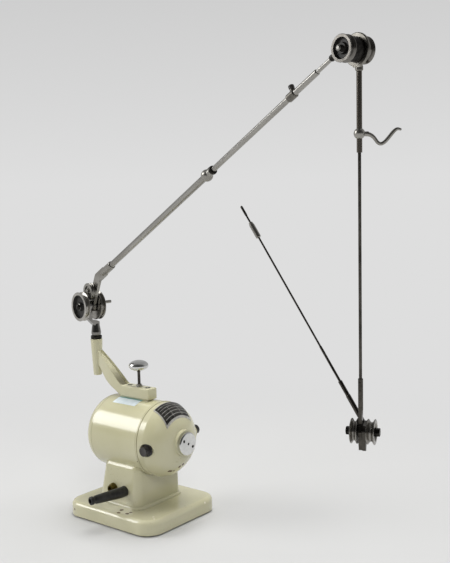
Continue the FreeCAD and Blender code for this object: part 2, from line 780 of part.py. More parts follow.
def buildRotor():
    centre = Vector(0, 0, motorHeight)
    frontEnd = bossFace - 1
    rearEnd = rearBossFace - drivePulleyGap - drivePulleyWidth
    shaft = turned([(rearEnd, 0), (rearEnd, journalRadius - 0.5), (rearEnd + 0.5, journalRadius),
                    (rearFace + tieSink, journalRadius), (rearFace + tieSink, shaftRadius),
                    (frontEnd - journalLength, shaftRadius), (frontEnd - journalLength, journalRadius),
                    (frontEnd, journalRadius), (frontEnd, 0)], axisX, centre)
    save("motor_shaft", [shaft])
    bearings = []
    for start in (rearBossFace + 2, bossFace - bearingCover - bearingLength):
        bearings.append(turned([(start, journalRadius + runningGap), (start, bearingRadius),
                                (start + bearingLength, bearingRadius),
                                (start + bearingLength, journalRadius + runningGap)], axisX, centre))
    save("shaft_bearings", bearings)
    low, high = Vector(coreStart, 0, motorHeight), Vector(rotorEnd, 0, motorHeight)
    rotor = rod(rotorRadius, low, high).cut(rod(shaftRadius + slideGap, low, high))
    for i in range(slotCount):
        slot = Part.makeBox(coreLength + 2, slotWidth, slotDepth + 1,
                            Vector(coreStart - 1, -slotWidth / 2, rotorRadius - slotDepth))
        slot.Placement = Placement(centre, Rotation(axisX, 360 * i / slotCount))
        rotor = rotor.cut(slot)
    save("rotor_core", [rotor.Solids[0]])
    start = brushX - commutatorLength / 2
    segment = turned([(start, shaftRadius + slideGap), (start, commutatorRadius),
                      (start + commutatorLength, commutatorRadius),
                      (start + commutatorLength, shaftRadius + slideGap)], axisX, centre)
    save("commutator", [segment])
    fanStart = coreStart - coilOverhang - fanWidth - 2
    fan = turned([(fanStart, shaftRadius + slideGap), (fanStart, shaftRadius + 4),
                  (fanStart + fanWidth - fanPlate, shaftRadius + 4),
                  (fanStart + fanWidth - fanPlate, fanRadius),
                  (fanStart + fanWidth, fanRadius), (fanStart + fanWidth, shaftRadius + slideGap)],
                 axisX, centre)
    for i in range(fanBlades):
        blade = Part.makeBox(fanWidth - 0.5, 1.2, fanRadius - shaftRadius - 2,
                             Vector(fanStart, -0.6, shaftRadius + 1.5))
        blade.Placement = Placement(centre, Rotation(axisX, 360 * i / fanBlades))
        fan = fuse(fan, blade)
    save("cooling_fan", [fan])
    start = rearBossFace - drivePulleyGap - drivePulleyWidth
    wheel = pulley(start, drivePulleyWidth, drivePulleyRadius, journalRadius + slideGap,
                   drivePulleyRadius * 0.7, 2.0, -1, hub=journalRadius + 3, hubLength=drivePulleyGap - sideGap)
    toShaft = Placement(centre, Rotation(axisZ, -90))
    save("drive_pulley", [wheel], toShaft)


def buildBracket():
    low = motorHeight + motorRadius * 0.9
    bar = Part.makeBox(barFront - barRear, 2 * barHalfWidth, barTop - low, Vector(barRear, -barHalfWidth, low))
    soft = [e for e in bar.Edges if any(v.X > barFront - 1e-6 for v in e.Vertexes)
            and not all(abs(v.Z - low) < 1e-6 for v in e.Vertexes)]
    bar = bar.makeFillet(barRound, soft)
    webLow = motorHeight + motorRadius - 0.5

    def section(x, half, zLow, zHigh, corner):
        points = [Vector(x, y, z) for y, z in ((-half, zLow), (half, zLow), (half, zHigh), (-half, zHigh))]
        return roundCorners(points, corner, closed=True)

    web = Part.makeLoft([section(barRear + 4, barHalfWidth - 0.2, webLow, barTop - 0.3, 2.4),
                         section(spindleX + 1, webHalfWidth, webBottom, webTop, 2.4)], True, True)
    sleeve = turned([(sleeveBottom, 0), (sleeveBottom, sleeveBottomRadius - 1),
                     (sleeveBottom + 1, sleeveBottomRadius), (sleeveTop - 1, sleeveTopRadius),
                     (sleeveTop, sleeveTopRadius - 1), (sleeveTop, 0)], axisZ, Vector(spindleX, 0, 0))
    body = fuse(bar, web, sleeve)
    left, right = Vector(-cutReach, 0, motorHeight), Vector(cutReach, 0, motorHeight)
    body = body.cut(rod(motorRadius + seatGap, left, right))
    body = body.cut(rod(spindleRadius + runningGap, Vector(spindleX, 0, sleeveBottom + spindleSeat),
                        Vector(spindleX, 0, sleeveTop + 1)))
    knobLine = Vector(knobX, 0, barTop + 1)
    body = body.cut(rod(bushRadius - 1 + slideGap, Vector(knobX, 0, barTop - bushDepth), knobLine))
    body = body.cut(rod(knobStemRadius + runningGap, Vector(knobX, 0, low), knobLine))
    screws = []
    for x in bracketScrewX:
        cone = turned([(barTop - 3, 0), (barTop - 3, screwShank + slideGap), (barTop + 0.01, screwHead - 0.4),
                       (barTop + 0.01, 0)], axisZ, Vector(x, 0, 0))
        body = body.cut(cone).cut(rod(screwShank + slideGap, Vector(x, 0, motorHeight), Vector(x, 0, barTop)))
        end = motorHeight + shellBore + 0.6
        screws.append(turned([(end, 0), (end, screwShank), (barTop - 3.0, screwShank),
                              (barTop - 0.4, screwHead - 0.9), (barTop - 0.4, 0)], axisZ, Vector(x, 0, 0)))
    save("arm_bracket", [body.Solids[0]])
    save("bracket_screws", screws)
    seat = barTop - bushDepth
    bush = turned([(seat, knobStemRadius + runningGap), (seat, bushRadius - 1), (barTop, bushRadius - 1),
                   (barTop, bushRadius), (barTop + 1.2, bushRadius),
                   (barTop + bushHeight, knobStemRadius + 0.9),
                   (barTop + bushHeight, knobStemRadius + runningGap)], axisZ, Vector(knobX, 0, 0))
    save("knob_bush", [bush])
    head = knobHeadBottom
    high = head + knobHeadHeight
    stemEnd = barTop - 0.5 - knobTravel
    knob = turned([(stemEnd, 0), (stemEnd, knobStemRadius), (head - 0.6, knobStemRadius),
                   (head, knobStemRadius + 1.2), (head + 0.6, knobHeadRadius * 0.86),
                   (head + 2.4, knobHeadRadius, head + 4.2, knobHeadRadius - 0.6),
                   dome(head + 4.2, knobHeadRadius - 0.6, high)], axisZ, Vector(knobX, 0, 0))
    save("switch_knob", [knob])


def buildShoulder():
    drop = shoulderHeight
    seat = sleeveTop + collarHeight - drop
    crankTop = -bigPulleyRadius - 0.7
    crankLow = crankTop - crankThick
    neck = crankLow + 3 - seat
    foot = sleeveBottom + spindleSeat + airGap - drop
    stalk = turned([(foot, 0), (foot, spindleRadius),
                    (seat, spindleRadius), (seat, bulbRadius - 1.2), (seat + 1, bulbRadius - 0.5),
                    (seat + neck * 0.2, bulbRadius + 0.05, seat + neck * 0.34, bulbRadius - 0.1),
                    (seat + neck * 0.63, bulbRadius - 0.9, seat + neck * 0.91, bulbRadius - 1.9),
                    (seat + neck, bulbRadius - 3.6), (seat + neck, 0)], axisZ)
    outline = [(3.6, crankLow), (3.6, crankTop - 2), (-1, crankTop), (hubEnd, crankTop + 1.5), (hubEnd, 0),
               (hubStart, 0), (hubStart, crankTop + 7), (-4.4, crankLow)]
    corners = [Vector(-crankHalf, along, up) for along, up in outline]
    crank = Part.Face(Part.makePolygon(corners + corners[:1])).extrude(Vector(2 * crankHalf, 0, 0))
    hub = rod(hubRadius, Vector(0, hubStart, 0), Vector(0, hubEnd, 0))
    spindle = fuse(stalk, crank, hub)
    spindle = spindle.cut(rod(axleRadius + slideGap, Vector(0, hubStart - 1, 0), Vector(0, hubEnd + 1, 0)))
    save("spindle", [spindle.Solids[0]], shoulder)
    collar = turned([(sleeveTop + sideGap - drop, spindleRadius + slideGap),
                     (sleeveTop + sideGap - drop, collarRadius - 0.5),
                     (sleeveTop + sideGap + 0.5 - drop, collarRadius), (seat - 0.5, collarRadius),
                     (seat, collarRadius - 0.5), (seat, spindleRadius + slideGap)], axisZ)
    save("spindle_collar", [collar], shoulder)
    face = bigPulleyFace
    recess = face + nutRecess
    nutEnd = bigPulleyFar + sideGap + nutRecess
    axle = turned([(face - 0.4, 0), (face - 0.4, nutRadius - 1), (face + 0.2, nutRadius),
                   (recess - sideGap, nutRadius),
                   (recess - sideGap, axleRadius), (bigPulleyFar + sideGap, axleRadius),
                   (bigPulleyFar + sideGap, farNutRadius), (nutEnd, farNutRadius), (nutEnd, 0)], axisY)
    stub = turned([(nutEnd - 1, 0), (nutEnd - 1, stubRadius), (stubEnd - 0.5, stubRadius),
                   (stubEnd, stubRadius - 0.5), (stubEnd, 0)], axisY, Vector(0, 0, stubOffset))
    axle = fuse(axle, stub)
    save("shoulder_axle", [axle], shoulder)
    left = pulley(face, pulleyWidth, bigPulleyRadius, axleRadius + runningGap, bigPulleyRadius * 0.8, 3.4, -1,
                  hub=nutRadius + 1)
    left = left.cut(rod(nutRadius + sideGap, Vector(0, face - 1, 0), Vector(0, recess, 0)))
    save("shoulder_pulley_left", [left.Solids[0]], shoulder)
    spacer = bigPulleyFar - pulleyWidth - (armPlane + strapThick / 2) - sideGap
    right = pulley(bigPulleyFar - pulleyWidth, pulleyWidth, bigPulleyRadius, axleRadius + runningGap,
                   bigPulleyRadius * 0.8, 3.0, 1, hub=5.6, hubLength=spacer)
    save("shoulder_pulley_right", [right.Solids[0]], shoulder)


def buildArmStrap():
    half = strapThick / 2
    eye = Part.makeCylinder(strapEye, strapThick, Vector(0, -half, 0), axisY)
    lean = barXZ((0, 0), (strapBendX, armRise), strapWidth, -half, half)
    flat = barXZ((strapBendX, armRise), (socketStart + 4, armRise), strapWidth, -half, half)
    socket = turned([(socketStart, 0), (socketStart, socketRadius - 1), (socketStart + 1.5, socketRadius),
                     (socketEnd - 1, socketRadius), (socketEnd, socketRadius - 0.6), (socketEnd, 0)],
                    axisX, Vector(0, 0, armRise))
    pinEnd = -half - sideGap - guideWidth - sideGap
    pin = rod(guidePin, Vector(guideX, half, guideZ), Vector(guideX, pinEnd, guideZ))
    pinHead = rod(guidePin + 1.1, Vector(guideX, pinEnd, guideZ), Vector(guideX, pinEnd - 1.0, guideZ))
    strap = fuse(eye, lean, flat, socket, pin, pinHead)
    strap = strap.cut(rod(axleRadius + runningGap, Vector(0, -half - 1, 0), Vector(0, half + 1, 0)))
    strap = strap.cut(rod(lowerTubeRadius + slideGap, Vector(socketStart + tubeSeat, 0, armRise),
                          Vector(socketEnd + 1, 0, armRise)))
    screwX = socketEnd - 9
    strap = strap.cut(rod(1.8 + slideGap, Vector(screwX, 0, armRise), Vector(screwX, 0, armRise + 9)))
    save("arm_strap", [strap.Solids[0]], arm)
    guideLow = -half - sideGap - guideWidth
    guide = pulley(guideLow, guideWidth, guideRadius, guidePin + runningGap, guideRadius * 0.66, 1.6, -1,
                   hub=4.0, grooves=2)
    save("guide_pulley", [guide], arm.multiply(Placement(Vector(guideX, 0, guideZ), Rotation())))


def buildTubes():
    line = Vector(0, 0, armRise)
    tubeEnd = ballX - 2
    tube = rod(lowerTubeRadius, line + axisX * (socketStart + tubeSeat), line + axisX * tubeEnd)
    tube = tube.cut(rod(lowerTubeRadius - tubeWall, line + axisX * socketStart, line + axisX * (ballX + 1)))
    save("lower_tube", [tube.Solids[0]], arm)

    upperStart = ballX + 0.5
    upper = turned([(upperStart, rodRadius + runningGap), (upperStart, upperTubeRadius),
                    (upperTubeEnd - 0.6, upperTubeRadius), (upperTubeEnd, upperTubeRadius - 0.4),
                    (upperTubeEnd, rodRadius + runningGap)], axisX, line)
    holeX = clampX + clampLength * 0.3
    upper = upper.cut(rod(thumbStem + 0.1, Vector(holeX, 0, armRise), Vector(holeX, 0, armRise + 9)))
    save("upper_tube", [upper.Solids[0]], arm)

    ball = Part.makeSphere(ballRadius, Vector(ballX, 0, armRise))
    neck = turned([(ballX, 0), (ballX, 5.0), (ballX + ringOffset - 1.2, 4.2),
                   (ballX + ringOffset - sideGap, 3.9),
                   (ballX + ringOffset - sideGap, 0)], axisX, line)
    ball = fuse(ball, neck)
    ball = ball.cut(rod(lowerTubeRadius + slideGap, line + axisX * (ballX - 20), line + axisX * tubeEnd))
    ball = ball.cut(rod(upperTubeRadius + runningGap, line + axisX * (upperStart - sideGap),
                        line + axisX * (ballX + 20)))
    screwWay = Vector(0, 0.6, 0.8)
    boss = rod(2.0, line + axisX * ballX + screwWay * (ballRadius - 1.5),
               line + axisX * ballX + screwWay * (ballRadius + 0.8))
    square = Part.makeBox(3.4, 3.4, 2.6, Vector(-1.7, -1.7, 0))
    square.Placement = Placement(line + axisX * ballX + screwWay * (ballRadius + 0.8),
                                 Rotation(axisZ, screwWay))
    save("swivel_ball", [fuse(ball.Solids[0], boss, square)], arm)

    ringStart = ballX + ringOffset
    ring = turned([(ringStart, upperTubeRadius + slideGap), (ringStart, ringRadius),
                   (ringStart + ringLength * 0.5, ringRadius + 0.35, ringStart + ringLength, ringRadius),
                   (ringStart + ringLength, upperTubeRadius + slideGap)], axisX, line)
    save("swivel_ring", [ring], arm)

    clampStart = clampX - clampLength / 2
    clamp = turned([(clampStart, upperTubeRadius + slideGap), (clampStart, clampRadius - 0.7),
                    (clampStart + 0.7, clampRadius), (clampStart + clampLength - 0.7, clampRadius),
                    (clampStart + clampLength, clampRadius - 0.7),
                    (clampStart + clampLength, upperTubeRadius + slideGap)], axisX, line)
    pad = rod(thumbRadius - sideGap, Vector(holeX, 0, armRise + upperTubeRadius + airGap),
              Vector(holeX, 0, armRise + clampRadius + 0.9))
    hole = rod(thumbStem + runningGap, Vector(holeX, 0, armRise + 1),
               Vector(holeX, 0, armRise + 3 * clampRadius))
    clamp = fuse(clamp, pad).cut(hole)
    save("tube_clamp", [clamp.Solids[0]], arm)
    low = armRise + clampRadius + 0.9 + sideGap
    thumb = turned([(armRise + rodRadius + sideGap, 0), (armRise + rodRadius + sideGap, thumbStem - 0.1),
                    (low, thumbStem - 0.1), (low, thumbRadius - 0.8), (low + 0.8, thumbRadius),
                    (low + thumbHeight - 0.9, thumbRadius),
                    (low + thumbHeight - 0.2, thumbRadius - 0.5, low + thumbHeight, thumbRadius - 1.2),
                    (low + thumbHeight, 0)], axisZ, Vector(holeX, 0, 0))
    save("thumb_screw", [thumb], arm)
    rodStart, rodEnd = upperTubeEnd - rodInside, elbowSleeveStart + rodSeat
    save("extension_rod", [rod(rodRadius, line + axisX * rodStart, line + axisX * rodEnd)], arm)


def buildElbow():
    line = Vector(0, 0, armRise)
    drum = turned([(drumStart, 0), (drumStart, drumRadius - 0.8), (drumStart + 0.8, drumRadius),
                   (drumEnd - 0.8, drumRadius), (drumEnd, drumRadius - 0.8), (drumEnd, 0)], axisY,
                  Vector(elbowX, 0, elbowZ))
    sleeve = turned([(elbowSleeveStart, 0), (elbowSleeveStart, elbowSleeveRadius - 0.5),
                     (elbowSleeveStart + 0.8, elbowSleeveRadius), (elbowX - 4, elbowSleeveRadius),
                     (elbowX - 4, 0)],
                    axisX, line)
    hub = fuse(drum, sleeve)
    hub = hub.cut(rod(rodRadius + slideGap, line + axisX * (elbowSleeveStart - 5),
                      line + axisX * (elbowSleeveStart + rodSeat)))
    hub = hub.cut(rod(axleRadius + slideGap, Vector(elbowX, drumStart - 1, elbowZ),
                      Vector(elbowX, drumEnd + 1, elbowZ)))
    save("elbow_hub", [hub.Solids[0]], arm)

    start, end = -elbowFace - elbowHeadOut, elbowFace - airGap
    recess = elbowFace - elbowRecess
    axle = turned([(start, 0), (start, 1.6), (start + 0.8, 2.8), (-elbowFace + 0.8, axleRadius),
                   (recess + sideGap, axleRadius), (recess + sideGap, elbowNutRadius),
                   (end - 0.5, elbowNutRadius), (end, elbowNutRadius - 0.8), (end, 0)], axisY)
    save("elbow_axle", [axle], elbow)
    left = pulley(-elbowFace, pulleyWidth, smallPulleyRadius, axleRadius + runningGap, smallPulleyRadius * 0.78,
                  3.0, -1, hub=4.6)
    save("elbow_pulley_left", [left], elbow)
    discLow = max(drumEnd, elbowSleeveRadius) + sideGap
    discHigh = discLow + headDiscThick
    low = elbowFace - pulleyWidth
    right = pulley(low, pulleyWidth, smallPulleyRadius, axleRadius + runningGap,
                   smallPulleyRadius * 0.78, 2.6, 1,
                   hub=4.6, hubLength=low - discHigh - sideGap)
    right = right.cut(rod(elbowNutRadius + sideGap, Vector(0, recess, 0), Vector(0, elbowFace + 1, 0)))
    save("elbow_pulley_right", [right.Solids[0]], elbow)

    disc = turned([(discLow, 0), (discLow, headDiscRadius - 0.6), (discLow + 0.6, headDiscRadius),
                   (discHigh - 0.6, headDiscRadius), (discHigh, headDiscRadius - 0.6), (discHigh, 0)], axisY)
    half, foot = headDiscRadius * 0.86, -foreSocketEnd + foreSeat
    tail = plateXZ([(-half, -headDiscRadius * 0.5), (half, -headDiscRadius * 0.5),
                    (foreSocketRadius, foot), (-foreSocketRadius, foot)], discLow + sideGap, discHigh)
    socket = turned([(-foreSocketEnd, 0), (-foreSocketEnd, foreSocketRadius - 0.8),
                     (-foreSocketEnd + 0.8, foreSocketRadius), (-foreSocketTop - 1.2, foreSocketRadius),
                     (-foreSocketTop, foreSocketRadius - 1.4), (-foreSocketTop, 0)],
                    axisZ, Vector(0, forePlane, 0))
    head = fuse(disc, tail, socket)
    head = head.cut(rod(axleRadius + runningGap, Vector(0, discLow - 1, 0), Vector(0, discHigh + 1, 0)))
    head = head.cut(rod(foreTubeRadius + slideGap, Vector(0, forePlane, -foreSocketTop - foreSeat),
                        Vector(0, forePlane, -foreSocketEnd - 1)))
    save("forearm_head", [head.Solids[0]], elbow)


def buildForearm():
    tube = rod(foreTubeRadius, Vector(0, 0, -foreSocketTop - foreSeat), Vector(0, 0, -foreTubeEnd))
    tube = tube.cut(rod(foreRodRadius + runningGap, Vector(0, 0, -foreSocketTop),
                        Vector(0, 0, -foreTubeEnd - 1)))
    save("forearm_tube", [tube.Solids[0]], forearm)

    ball = Part.makeSphere(hookBallRadius, Vector(0, 0, 0))
    nipple = rod(hookWire + 0.8, Vector(hookBallRadius - 1.5, 0, 0), Vector(hookBallRadius + 3, 0, 0))
    ball = fuse(ball, nipple).cut(rod(foreTubeRadius + runningGap, Vector(0, 0, -20), Vector(0, 0, 20)))
    ball = ball.cut(rod(hookWire + slideGap, Vector(hookBallRadius - 1, 0, 0),
                        Vector(hookBallRadius + 9, 0, 0)))
    save("hook_clamp", [ball.Solids[0]], hook)
    path = [Vector(hookBallRadius - 1, 0, 0)] + [Vector(along, 0, up) for along, up in hookPath]
    save("cord_hook", [Part.Solid(bentRod(path, hookWire, hookBend).Shells[0])], hook)

    save("forearm_rod", [rod(foreRodRadius, Vector(0, 0, -foreRodTop), Vector(0, 0, -stemRoundEnd + 6))], stem)

    strapLow, strapHigh = -wristStrapThick / 2, wristStrapThick / 2
    shank = turned([(-stemRoundEnd, 0), (-stemRoundEnd, stemRadius), (-stemTop - 0.6, stemRadius),
                     (-stemTop, stemRadius - 0.6), (-stemTop, 0)], axisZ)
    shoulderBlock = Part.makeLoft([Part.Wire(Part.makeCircle(stemRadius, Vector(0, 0, -stemRoundEnd), axisZ)),
                                   Part.Wire(Part.makeCircle(strapHigh,
                                                              Vector(0, 0, -stemRoundEnd - 6), axisZ))],
                                  True, True)
    z = -wristDrop
    strap = plateXZ([(-2.7, -stemRoundEnd + 2), (2.7, -stemRoundEnd + 2), (3.4, z + 8), (wristEye, z),
                     (wristEye - 1.2, z - 5), (1.4, z - fingerLength), (-1.4, z - fingerLength),
                     (-wristEye + 1.2, z - 5), (-wristEye, z), (-3.4, z + 8)], strapLow, strapHigh)
    body = fuse(shank, shoulderBlock, strap)
    body = body.cut(rod(wristAxleRadius + slideGap, Vector(0, strapLow - 1, z), Vector(0, strapHigh + 1, z)))
    body = body.cut(rod(foreRodRadius + slideGap, Vector(0, 0, -stemTop + 1), Vector(0, 0, -stemRoundEnd + 6)))
    for below in stemHoles:
        body = body.cut(rod(stemHole, Vector(-9, 0, -stemTop - below), Vector(9, 0, -stemTop - below)))
    save("wrist_stem", [body.Solids[0]], stem)


def buildWrist():
    strapHigh = wristStrapThick / 2
    leftHigh = -strapHigh - sideGap * 2
    leftLow = leftHigh - wristPulleyWidth
    linkLow = strapHigh + sideGap
    linkHigh = linkLow + wristStrapThick
    rightLow = linkHigh + sideGap * 3
    rightHigh = rightLow + wristPulleyWidth + 1
    nutStart = rightHigh - wristDish + sideGap
    low, high = leftLow - wristNutLength - 0.8, nutStart + wristNutLength + 1.8
    axle = turned([(low, 0), (low, wristAxleRadius - 0.5), (low + 0.5, wristAxleRadius),
                   (high - 0.5, wristAxleRadius), (high, wristAxleRadius - 0.5), (high, 0)], axisY)
    save("wrist_axle", [axle], wrist)
    save("wrist_pulley_left", [pulley(leftLow, wristPulleyWidth, wristPulleyRadius,
                                      wristAxleRadius + runningGap,
                                      wristPulleyRadius * 0.72, wristDish, -1, hub=4.4,
                                      hubLength=sideGap)], wrist)
    right = pulley(rightLow, wristPulleyWidth + 1, wristPulleyRadius, wristAxleRadius + runningGap,
                   wristPulleyRadius * 0.72, wristDish, 1, hub=4.6, hubLength=sideGap * 2)
    recess = rod(wristNutRadius + 0.6, Vector(0, rightHigh - wristDish, 0), Vector(0, rightHigh + 1, 0))
    save("wrist_pulley_right", [right.cut(recess).Solids[0]], wrist)
    nuts = [hexNut(wristNutRadius, wristNutLength, wristAxleRadius + slideGap,
                   leftLow - sideGap - wristNutLength),
            hexNut(wristNutRadius, wristNutLength + 1.5, wristAxleRadius + slideGap, nutStart)]
    save("wrist_nuts", nuts, wrist)

    eye = Part.makeCylinder(wristEye, wristStrapThick, Vector(0, linkLow, 0), axisY)
    finger = plateXZ([(-wristEye + 1, -3), (wristEye - 1, -3), (1.4, -fingerLength), (-1.4, -fingerLength)],
                     linkLow, linkHigh)
    armPiece = plateXZ([(-2.0, -4.5), (3.5, 4.5), (earX + 0.4, earDepth + 4), (earX - earThick, earDepth + 4),
                        (earX - earThick, earDepth - 4)], linkLow, linkHigh)
    ear = Part.makeBox(earThick, linkHigh - knuckleY + knuckleEye, 2 * 4,
                       Vector(earX - earThick, knuckleY - knuckleEye, earDepth - 4))
    pinOut = earX - earThick - knuckleThick - 2 * slideGap
    pin = rod(knucklePin, Vector(earX - 1, knuckleY, earDepth), Vector(pinOut - 0.9, knuckleY, earDepth))
    head = rod(knucklePin + 0.9, Vector(pinOut, knuckleY, earDepth), Vector(pinOut - 0.9, knuckleY, earDepth))
    strap = fuse(eye, finger, armPiece, ear, pin, head)
    strap = strap.cut(rod(wristAxleRadius + runningGap, Vector(0, linkLow - 1, 0), Vector(0, linkHigh + 1, 0)))
    save("link_strap", [strap.Solids[0]], fold)


def buildLink():
    half = knuckleThick / 2
    eye = Part.makeCylinder(knuckleEye, knuckleThick, Vector(-half, 0, 0), axisX)
    neck = Part.makeBox(knuckleThick, 2 * linkSleeveRadius, linkSleeveStart + 1,
                        Vector(-half, -linkSleeveRadius, 0))
    sleeve = turned([(linkSleeveStart, 0), (linkSleeveStart, linkSleeveRadius - 0.8),
                     (linkSleeveStart + 1.2, linkSleeveRadius), (linkSleeveEnd, linkSleeveRadius),
                     (linkSleeveEnd + 0.4, linkTubeRadius), (linkTubeEnd - 0.5, linkTubeRadius),
                     (linkTubeEnd, linkRodRadius + 0.3), (linkTubeEnd, 0)], axisZ)
    body = fuse(eye, neck, sleeve)
    body = body.cut(rod(knucklePin + runningGap, Vector(-half - 1, 0, 0), Vector(half + 1, 0, 0)))
    body = body.cut(rod(linkRodRadius + slideGap, Vector(0, 0, linkSleeveEnd), Vector(0, 0, linkTubeEnd + 1)))
    save("link_sleeve", [body.Solids[0]], knuckle)
    spindle = turned([(linkSleeveEnd, 0), (linkSleeveEnd, linkRodRadius), (linkRodStep, linkRodRadius),
                      (linkRodStep + 1, linkTipRadius), (linkEnd - 12, linkTipRadius),
                      (linkEnd - 10, linkTipRadius + 0.3),
                      (linkEnd - 1, linkTipRadius + 0.3), (linkEnd, linkTipRadius - 0.2), (linkEnd, 0)], axisZ)
    save("link_rod", [spindle], knuckle)
    nose = turned([(noseStart, linkTipRadius + runningGap), (noseStart, noseRadius - 0.5),
                   (noseStart + 0.6, noseRadius), (noseEnd - 3.5, noseRadius), (noseEnd, linkTipRadius + 0.9),
                   (noseEnd, linkTipRadius + runningGap)], axisZ)
    save("nose_sleeve", [nose], knuckle)


buildBase()
buildPedestal()
buildCableEntry()
buildBells()
buildMotorTrim()
buildBrushes()
buildWindings()
buildRotor()
buildBracket()
buildShoulder()
buildArmStrap()
buildTubes()
buildElbow()
buildForearm()
buildWrist()
buildLink()
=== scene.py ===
import json
import math

import bmesh
import bpy
from mathutils import Matrix, Vector


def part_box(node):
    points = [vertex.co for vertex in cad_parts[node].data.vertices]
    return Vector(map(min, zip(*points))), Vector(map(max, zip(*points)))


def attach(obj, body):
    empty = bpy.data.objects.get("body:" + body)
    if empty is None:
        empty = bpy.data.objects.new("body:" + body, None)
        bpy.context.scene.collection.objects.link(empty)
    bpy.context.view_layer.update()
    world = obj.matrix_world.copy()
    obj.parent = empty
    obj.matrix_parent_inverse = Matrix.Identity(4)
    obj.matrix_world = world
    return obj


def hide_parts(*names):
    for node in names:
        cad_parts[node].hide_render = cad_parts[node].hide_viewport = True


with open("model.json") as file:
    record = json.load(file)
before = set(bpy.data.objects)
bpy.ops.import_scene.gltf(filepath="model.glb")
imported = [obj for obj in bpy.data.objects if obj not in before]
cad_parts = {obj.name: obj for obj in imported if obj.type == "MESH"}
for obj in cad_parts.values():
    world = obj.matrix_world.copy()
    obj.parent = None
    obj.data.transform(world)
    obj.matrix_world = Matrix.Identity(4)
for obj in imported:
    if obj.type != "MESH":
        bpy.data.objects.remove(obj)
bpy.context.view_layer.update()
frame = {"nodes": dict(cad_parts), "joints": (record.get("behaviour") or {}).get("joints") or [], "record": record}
mm = 0.001
print("frame loaded:", len(frame["nodes"]), "nodes")


def hexColour(code):
    # sRGB hex to the linear values that the shaders take
    values = []
    for i in (0, 2, 4):
        v = int(code[i:i + 2], 16) / 255
        values.append(v / 12.92 if v <= 0.04045 else ((v + 0.055) / 1.055) ** 2.4)
    return (*values, 1.0)


def setInputs(tree, node, inputs):
    # values for a node's inputs, and links where the value is a socket
    for name, value in inputs.items():
        socket = node.inputs[name]
        if isinstance(value, bpy.types.NodeSocket):
            tree.links.new(value, socket)
        else:
            socket.default_value = value


def addNode(tree, kind, settings=None, inputs=None):
    # one shader node with its settings, its values and its links
    node = tree.nodes.new(kind)
    for name, value in (settings or {}).items():
        setattr(node, name, value)
    setInputs(tree, node, inputs or {})
    return node


def newMaterial(name):
    material = bpy.data.materials.new(name)
    material.use_nodes = True
    tree = material.node_tree
    tree.nodes.clear()
    out = addNode(tree, "ShaderNodeOutputMaterial")
    shader = addNode(tree, "ShaderNodeBsdfPrincipled")
    tree.links.new(shader.outputs[0], out.inputs[0])
    place = addNode(tree, "ShaderNodeTexCoord").outputs["Object"]
    return material, tree, shader, place


def ramp(tree, factor, stops):
    # a colour ramp from (position, grey) or (position, colour) pairs
    node = addNode(tree, "ShaderNodeValToRGB", inputs={"Fac": factor})
    elements = node.color_ramp.elements
    while len(elements) < len(stops):
        elements.new(0.5)
    for element, (position, colour) in zip(elements, stops):
        element.position = position
        element.color = colour if isinstance(colour, tuple) else (colour, colour, colour, 1)
    return node.outputs["Color"]


def noise(tree, place, scale, detail, **more):
    return addNode(tree, "ShaderNodeTexNoise",
                   inputs={"Vector": place, "Scale": scale, "Detail": detail, **more}).outputs[0]


def calc(tree, operation, first, second=0.0):
    return addNode(tree, "ShaderNodeMath", {"operation": operation}, {0: first, 1: second}).outputs[0]


def mapRange(tree, value, low=0.0, high=1.0, toLow=0.0, toHigh=1.0, smooth=False):
    return addNode(tree, "ShaderNodeMapRange", {"interpolation_type": "SMOOTHSTEP" if smooth else "LINEAR"},
                   {"Value": value, "From Min": low, "From Max": high, "To Min": toLow, "To Max": toHigh}).outputs[0]


def mixColour(tree, factor, first, second):
    return addNode(tree, "ShaderNodeMix", {"data_type": "RGBA"}, {0: factor, 6: first, 7: second}).outputs[2]


def distanceTo(tree, place, point):
    # distance from a point given in millimetres
    return addNode(tree, "ShaderNodeVectorMath", {"operation": "DISTANCE"},
                   {0: place, 1: tuple(c * mm for c in point)}).outputs["Value"]


def offFrom(tree, coordinate, middle):
    # how far a coordinate lies to either side of a middle given in millimetres
    return calc(tree, "ABSOLUTE", calc(tree, "SUBTRACT", coordinate, middle * mm))


def setBump(tree, shader, height, strength, distance):
    bump = addNode(tree, "ShaderNodeBump", inputs={"Strength": strength, "Distance": distance, "Height": height})
    tree.links.new(bump.outputs[0], shader.inputs["Normal"])


def jointPlace(name):
    joint = [j for j in frame["joints"] if j["name"] == name][0]
    return Vector(joint["pos_m"]), Vector(joint["axis"]).normalized()


def bodyHolding(node):
    return [body for body, nodes in frame["record"]["behaviour"]["bodies"].items() if node in nodes][0]


def axesMatrix(origin, xAxis, yAxis, zAxis):
    matrix = Matrix((xAxis, yAxis, zAxis)).transposed().to_4x4()
    matrix.translation = origin
    return matrix


def aimed(origin, way, side=Vector((1, 0, 0))):
    # a frame at origin whose Z looks along way
    way = way.normalized()
    if abs(way.dot(side)) > 0.95:
        side = Vector((0, 1, 0))
    across = way.cross(side).normalized()
    return axesMatrix(origin, across.cross(way), across, way)


# The arm's own frame, read from the joints: X along the tubes, Y across, Z up
armX = jointPlace("arm_swivel")[1]
armZ = jointPlace("clamp_screw_turn")[1]
armY = armZ.cross(armX)
armFrame = axesMatrix(jointPlace("arm_raise")[0], armX, armY, armZ)

# Camera, fitted to the photograph: 450 x 563 pixels, focal length 900 pixels
cameraSettings = {
    "focal": 900.0, "frameHeight": 563.0, "azimuth": 39.0, "pitch": 6.4, "roll": -1.45,
    "place": (0.8124, -0.8186, 0.4308), "sensorHeight": 24,
}


